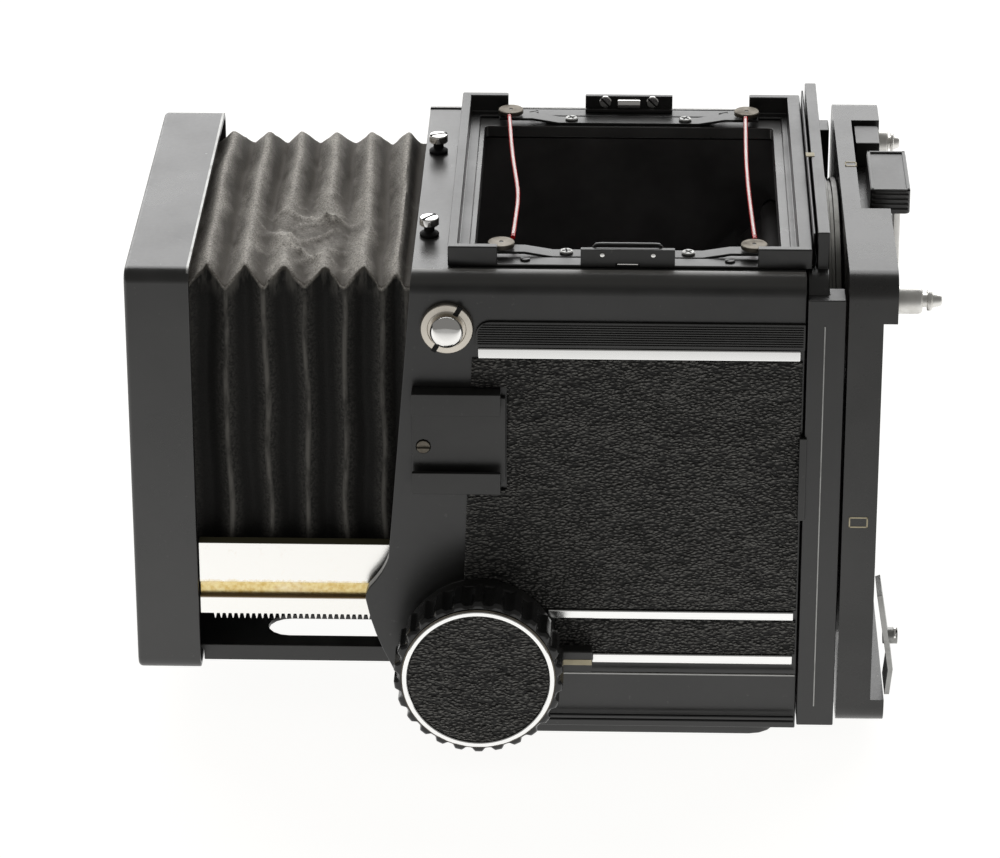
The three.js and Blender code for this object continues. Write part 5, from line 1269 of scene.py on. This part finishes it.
class FocusDrive:
    """The knobs, their shaft and the lock lever."""

    def __init__(self, sizes: KnobSizes = KnobSizes()) -> None:
        """Keeps the sizes.

        Args:
            sizes: The knobs' sizes.
        """
        self.sizes = sizes
        self.axis = middle("left_knob_ring")

    def knob(self, node: str) -> None:
        """A knob with soft ribs round its skirt and a rolled front edge.

        Args:
            node: The CAD node that it stands for.
        """
        low, high = span(node)
        side = -1 if low.y < 0 else 1
        back, face = (high.y, low.y) if side < 0 else (low.y, high.y)
        length = abs(face - back)
        edge, radius, foot = self.sizes.edge, self.sizes.radius, self.sizes.rib_foot
        profile = [(0, 0), (16.2, 0), (18.0, 0.3), (radius, 0.8)]
        profile += [(radius, 0.8 + (length - 0.8 - edge) * step / 5) for step in range(1, 6)]
        profile += [(radius - edge * (1 - math.cos(a)), length - edge + edge * math.sin(a))
                    for a in (0.4, 0.8, 1.2, 1.5)]
        profile += [(16.75, length), (16.6, length - 0.25), (0, length - 0.25)]
        at = (self.axis.x, back, self.axis.z)
        steps = self.sizes.ribs * self.sizes.samples
        mesh = turned(Axis.Y, at, [(r, side * y) for r, y in profile], steps)
        for vert in mesh.verts:
            across = Vector((vert.co.x - self.axis.x, 0, vert.co.z - self.axis.z))
            if across.length < foot:
                continue
            angle = math.atan2(across.z, across.x)
            wave = 0.5 - 0.5 * math.cos(angle * self.sizes.ribs)
            rib = 1 - min(1.0, max(0.0, (wave - 0.18) / 0.55))
            fade = min(1.0, (across.length - foot) / 0.9)
            shrink = 1 - self.sizes.groove * rib * fade / across.length
            vert.co.x = self.axis.x + across.x * shrink
            vert.co.z = self.axis.z + across.z * shrink
        form = Form().take(mesh)
        placed(form, f"{node}_ribbed", [KNOB_PLASTIC], "focus_shaft", [node], 45)

    def ring(self) -> None:
        """The bright ring, with a thin brown-gold line outside it."""
        at = (self.axis.x, span("left_knob_ring")[1].y, self.axis.z)
        bright = [(15.4, 0), (16.45, 0), (16.45, -0.6), (16.3, -0.78), (15.55, -0.78), (15.4, -0.6), (15.4, 0)]
        gold = [(16.47, 0), (16.72, 0), (16.72, -0.35), (16.47, -0.35), (16.47, 0)]
        form = Form().take(turned(Axis.Y, at, bright, 96), 0)
        form.take(turned(Axis.Y, at, gold, 96), 1)
        placed(form, "left_knob_ring_turned", [TRIM_CHROME, OLD_PLATE], "focus_shaft",
               ["left_knob_ring"])

    def inlay(self) -> None:
        """The wrinkled leatherette disc inside the ring."""
        low, high = span("left_knob_inlay")
        mesh = bmesh.new()
        at = Matrix.Translation(Vector((self.axis.x, high.y, self.axis.z))) @ Axis.Y.value
        sizes = self.sizes
        bmesh.ops.create_circle(mesh, cap_ends=True, radius=sizes.inlay, segments=96, matrix=at)
        grown = bmesh.ops.extrude_face_region(mesh, geom=mesh.faces[:])
        bmesh.ops.translate(mesh, verts=[v for v in grown["geom"] if isinstance(v, BMVert)],
                            vec=(0, -sizes.inlay_depth, 0))
        reach = 38 * sizes.inlay_cell
        for axis, start in ((Vector((1, 0, 0)), self.axis.x - reach), (Vector((0, 0, 1)), self.axis.z - reach)):
            for cut in range(76):
                bmesh.ops.bisect_plane(mesh, geom=[*mesh.verts, *mesh.edges, *mesh.faces], dist=1e-4,
                                       plane_co=axis * (start + cut * sizes.inlay_cell), plane_no=axis)
        tidy(mesh)
        for vert in mesh.verts:
            if vert.co.y > low.y + 0.3:
                continue
            across = Vector((vert.co.x - self.axis.x, vert.co.z - self.axis.z)).length
            wrinkle = abs(noise.noise(Vector((vert.co.x * 0.55, vert.co.z * 0.8, 11)))) * 1.3
            wrinkle += abs(noise.noise(Vector((vert.co.x * 1.2, vert.co.z * 1.6, 17)))) * 0.5
            vert.co.y += 0.25 if across > 15.1 else min(0.4, 0.42 * wrinkle) - 0.03
        placed(Form().take(mesh), "left_knob_inlay_wrinkled", [SKIN], "focus_shaft",
               ["left_knob_inlay"], 50)

    def lock(self) -> None:
        """The lock lever, with a cream line along its tab."""
        refined("focus_lock_lever", BLACK_STEEL, "focus_lock", 0.3, 3)
        low, high = span("focus_lock_lever")
        mark = block((7.0, low.y - 0.15, 20.7), (high.x - 0.1, low.y + 0.15, 22.0))
        placed(Form().take(mark, edge=0.05), "lock_tab_mark", [IVORY], "focus_lock")

    def build(self) -> None:
        """Builds the focus drive's pieces."""
        self.knob("left_knob")
        self.knob("right_knob")
        self.ring()
        self.inlay()
        self.lock()
        refined("pinion_shaft", DULL_STEEL, "focus_shaft", 0.08)


class MirrorWork:
    """The mirror with its carrier and pin, and the flap behind it."""

    def build(self) -> None:
        """Builds the mirror work's pieces."""
        for node, finish, body, slot, edge in (
                ("mirror_carrier", MATT, "mirror", "matt_black", 0.15),
                ("mirror_glass", SILVER, "mirror", "silvered_glass", 0.25),
                ("mirror_pin", DULL_STEEL, "mirror", "grey_steel", 0.15),
                ("rear_baffle", MATT, "rear_baffle", "matt_black", 0.15)):
            refined(node, finish, body, edge)


@dataclass(frozen=True)
class Back:
    """The rear frame and the revolving back with its lock, pins and latch."""

    centre_z: float = 57.6
    tongue: float = 51.2
    bore: float = 44.0
    bright_from: float = 84.0
    lock_foot: float = 105.2
    rib_pitch: float = 1.15
    pin_radius: float = 3.0

    def ring(self) -> None:
        """The round tongue, worn bright where it turns."""
        low, high = span("revolving_ring")
        depth = high.x - low.x
        at = (low.x, 0, self.centre_z)
        out, bore = self.tongue, self.bore
        outline = [(bore + 0.2, 0), (out - 0.3, 0), (out, 0.3), (out, 1.2), (out - 0.7, 1.35), (out - 0.7, 2.0),
                   (out, 2.15), (out, depth - 0.3), (out - 0.3, depth), (bore + 0.2, depth), (bore, depth - 0.2),
                   (bore, 0.2), (bore + 0.2, 0)]
        form = Form().take(turned(Axis.X, at, outline, 160))
        for face in form.mesh.faces:
            face.material_index = int(face.calc_center_median().z < self.bright_from)
        placed(form, "revolving_ring_turned", [RING_STEEL, BLACK_STEEL], "revolving_back",
               ["revolving_ring"])

    def adapter(self) -> None:
        """The square adapter, with a floor patch in its recess and its format marks."""
        refined("revolving_adapter", CAST_ENAMEL, "revolving_back", 0.4, 3)
        low, high = span("revolving_adapter")
        form = Form()
        form.take(block((71.6, 27.2, 104.6), (77.0, 38.1, 110.3)), 0, 0.3)
        placed(form, "recess_floor_patch", [BLACK_STEEL], "revolving_back")
        marks = Form()
        for (x0, y0), (x1, y1) in outlined((1.5, 10.6), (4.1, 13.4), 0.3, 0.5):
            marks.take(block((low.x + x0, y0, high.z - 0.1), (low.x + x1, y1, high.z + 0.1)), 0, 0.04)
        for (x0, z0), (x1, z1) in outlined((68.4, 52.9), (72.5, 55.4), 0.3, 0.3):
            marks.take(block((x0, low.y - 0.1, z0), (x1, low.y + 0.1, z1)), 0, 0.04)
        placed(marks, "adapter_marks", [IVORY], "revolving_back")

    def lock(self) -> None:
        """The slide's block with a raised border and grip ribs, and its bright strip."""
        low, high = span("adapter_lock")
        form = Form()
        plan = rounded((low.x, low.y), (high.x, high.y), 1.2)
        form.take(prism(Plane.ALONG_Z, plan, self.lock_foot, high.z - 0.35), 0, 0.2, 2)
        for (x0, y0), (x1, y1) in outlined((low.x, low.y), (high.x, high.y), 1.0, 1.0):
            form.take(block((x0 + 0.15, y0 + 0.15, high.z - 0.5), (x1 - 0.15, y1 - 0.15, high.z)), 0, 0.12)
        for rib in range(4):
            z = self.lock_foot + 0.8 + rib * self.rib_pitch
            form.take(block((low.x + 0.3, low.y - 0.35, z), (high.x - 0.3, low.y + 0.3, z + 0.5)), 0, 0.14)
        form.take(block((78.8, -1.2, 91.2), (80.4, 4.3, 105.6)), 1, 0.3, 2)
        placed(form, "adapter_lock_ribbed", [BLACK_STEEL, SATIN], "adapter_lock",
               ["adapter_lock"])

    def pin(self, node: str) -> None:
        """An interlock pin: a cylinder, a neck, a collar and a cone.

        Args:
            node: The CAD node that it stands for.
        """
        low, high = span(node)
        reach = high.x - low.x
        at = (low.x, (low.y + high.y) / 2, (low.z + high.z) / 2)
        radius = self.pin_radius
        shares = [(0, 0), (2.75, 0), (radius, 0.02), (radius, 0.58), (2.85, 0.62), (2.5, 0.645), (1.5, 0.65),
                  (1.5, 0.73), (2.2, 0.735), (2.3, 0.75), (2.3, 0.79), (2.15, 0.81), (1.65, 0.83),
                  (1.3, 0.95), (1.05, 0.985), (0.6, 1.0), (0, 1.0)]
        form = Form().take(turned(Axis.X, at, [(r, s * reach) for r, s in shares], 48))
        side = "left" if at[1] < 0 else "right"
        placed(form, f"{node}_turned", [SATIN], f"{side}_interlock_pin", [node], 30)

    def latch(self) -> None:
        """The thin latch plate with a bright screw."""
        refined("lower_latch", DULL_STEEL, "lower_latch", 0.2, 2)
        form = Form()
        screw_head(form, Axis.X, (79.4, -47, 23.8), 1.75, 0.7, 1, 0.7)
        placed(form, "latch_screw", [CHROME, SLOT_DARK], "lower_latch")

    def frame(self) -> None:
        """The rear frame and its ivory index."""
        refined("rear_frame", ENAMEL, "body", 0.3, 2)
        low, high = span("rear_frame")
        mark = block((low.x + 0.8, -1.1, high.z - 0.1), (low.x + 2.7, 1.1, high.z + 0.12))
        placed(Form().take(mark, edge=0.05), "rear_frame_mark", [IVORY], "body")

    def build(self) -> None:
        """Builds the back's pieces."""
        self.frame()
        self.ring()
        self.adapter()
        self.lock()
        self.pin("left_interlock_pin")
        self.pin("right_interlock_pin")
        self.latch()


class Controls:
    """The cocking lever on the right and the release low on the front."""

    def build(self) -> None:
        """Builds the controls' pieces."""
        refined("cocking_lever", CHROME, "cocking_lever", 0.35, 3)
        refined("release_button", SATIN, "release_button", 0.15)
        refined("release_collar", DULL_STEEL, "release_collar", 0.2)


# ---------------------------------------------------------------- studio


@dataclass(frozen=True)
class Shot:
    """Where the camera stands; lengths in millimetres and angles in degrees."""

    target: Triple = (-6.77, -52.0, 74.75)
    distance: float = 974.0
    azimuth: float = 1.68
    elevation: float = 24.887
    roll: float = -0.106
    lens: float = 163.65

    def build(self) -> None:
        """Adds the camera."""
        az, el, roll = (math.radians(v) for v in (self.azimuth, self.elevation, self.roll))
        back = Vector((math.sin(az) * math.cos(el), -math.cos(az) * math.cos(el), math.sin(el)))
        right = Vector((0, 0, 1)).cross(back).normalized()
        up = back.cross(right)
        across = math.cos(roll) * right + math.sin(roll) * up
        upward = -math.sin(roll) * right + math.cos(roll) * up
        data = bpy.data.cameras.new("shot")
        data.lens = self.lens
        data.sensor_width = 36
        data.sensor_fit = "HORIZONTAL"
        data.clip_end = 50
        camera = bpy.data.objects.new("shot", data)
        where = (Vector(self.target) + self.distance * back) * MM
        camera.matrix_world = Matrix.Translation(where) @ Matrix((across, upward, back)).transposed().to_4x4()
        bpy.context.scene.collection.objects.link(camera)
        bpy.context.scene.camera = camera


@dataclass(frozen=True)
class Studio:
    """A pale floor that glows like a light table, a dim surround and one tall soft lamp behind."""

    floor_glow: float = 0.95
    front_glow: float = 0.3
    glow_from: float = -0.42
    glow_to: float = -0.13
    surround: float = 0.2
    lamp_power: float = 55

    def lamp(self, name: str, at: Triple, aim: Triple, size: Pair, power: float) -> None:
        """Adds a soft lamp.

        Args:
            name: The lamp's name.
            at: Where it hangs, in metres.
            aim: What it points at, in metres.
            size: Its width and height in metres.
            power: Its power in watts.
        """
        data = bpy.data.lights.new(name, "AREA")
        data.shape = "RECTANGLE"
        data.size, data.size_y = size
        data.energy = power
        lamp = bpy.data.objects.new(name, data)
        towards = Vector(aim) - Vector(at)
        lamp.matrix_world = Matrix.Translation(at) @ towards.to_track_quat("-Z", "Y").to_matrix().to_4x4()
        bpy.context.scene.collection.objects.link(lamp)

    def build(self) -> None:
        """Adds the floor, the surround and the lamp."""
        scene = bpy.context.scene
        scene.view_settings.view_transform = "Standard"
        world = scene.world or bpy.data.worlds.new("surround")
        scene.world = world
        world.use_nodes = True
        surround = world.node_tree.nodes["Background"]
        surround.inputs["Color"].default_value = (1, 0.985, 0.955, 1)
        surround.inputs["Strength"].default_value = self.surround
        mesh = bmesh.new()
        bmesh.ops.create_grid(mesh, x_segments=1, y_segments=1, size=6)
        bmesh.ops.translate(mesh, verts=mesh.verts, vec=(0, 0, -0.0004))
        data = bpy.data.meshes.new("floor")
        mesh.to_mesh(data)
        mesh.free()
        paper = Shader("floor_paper").colour((0.22, 0.22, 0.22)).rough(0.95)
        paper.fixed(Emission_Color=(1, 0.995, 0.98, 1), Specular_IOR_Level=0.0)
        glow = paper.ranged(paper.axis("Y"), self.glow_from, self.glow_to, self.front_glow, self.floor_glow)
        paper.wire(glow, paper.surface.inputs["Emission Strength"])
        data.materials.append(paper.material)
        floor = bpy.data.objects.new("floor", data)
        scene.collection.objects.link(floor)
        self.lamp("backdrop", (0, 1.6, 1.2), (0, 0, 0.4), (3.2, 2.3), self.lamp_power)


def main() -> None:
    """Builds the camera and its studio."""
    logging.basicConfig(level=logging.INFO, format="%(name)s: %(message)s")
    for assembly in (Shell(), Bellows(), FinderSeat(), FrontStandard(), FocusDrive(), MirrorWork(), Back(),
                     Controls()):
        assembly.build()
    Shot().build()
    Studio().build()


if __name__ == "__main__":
    main()
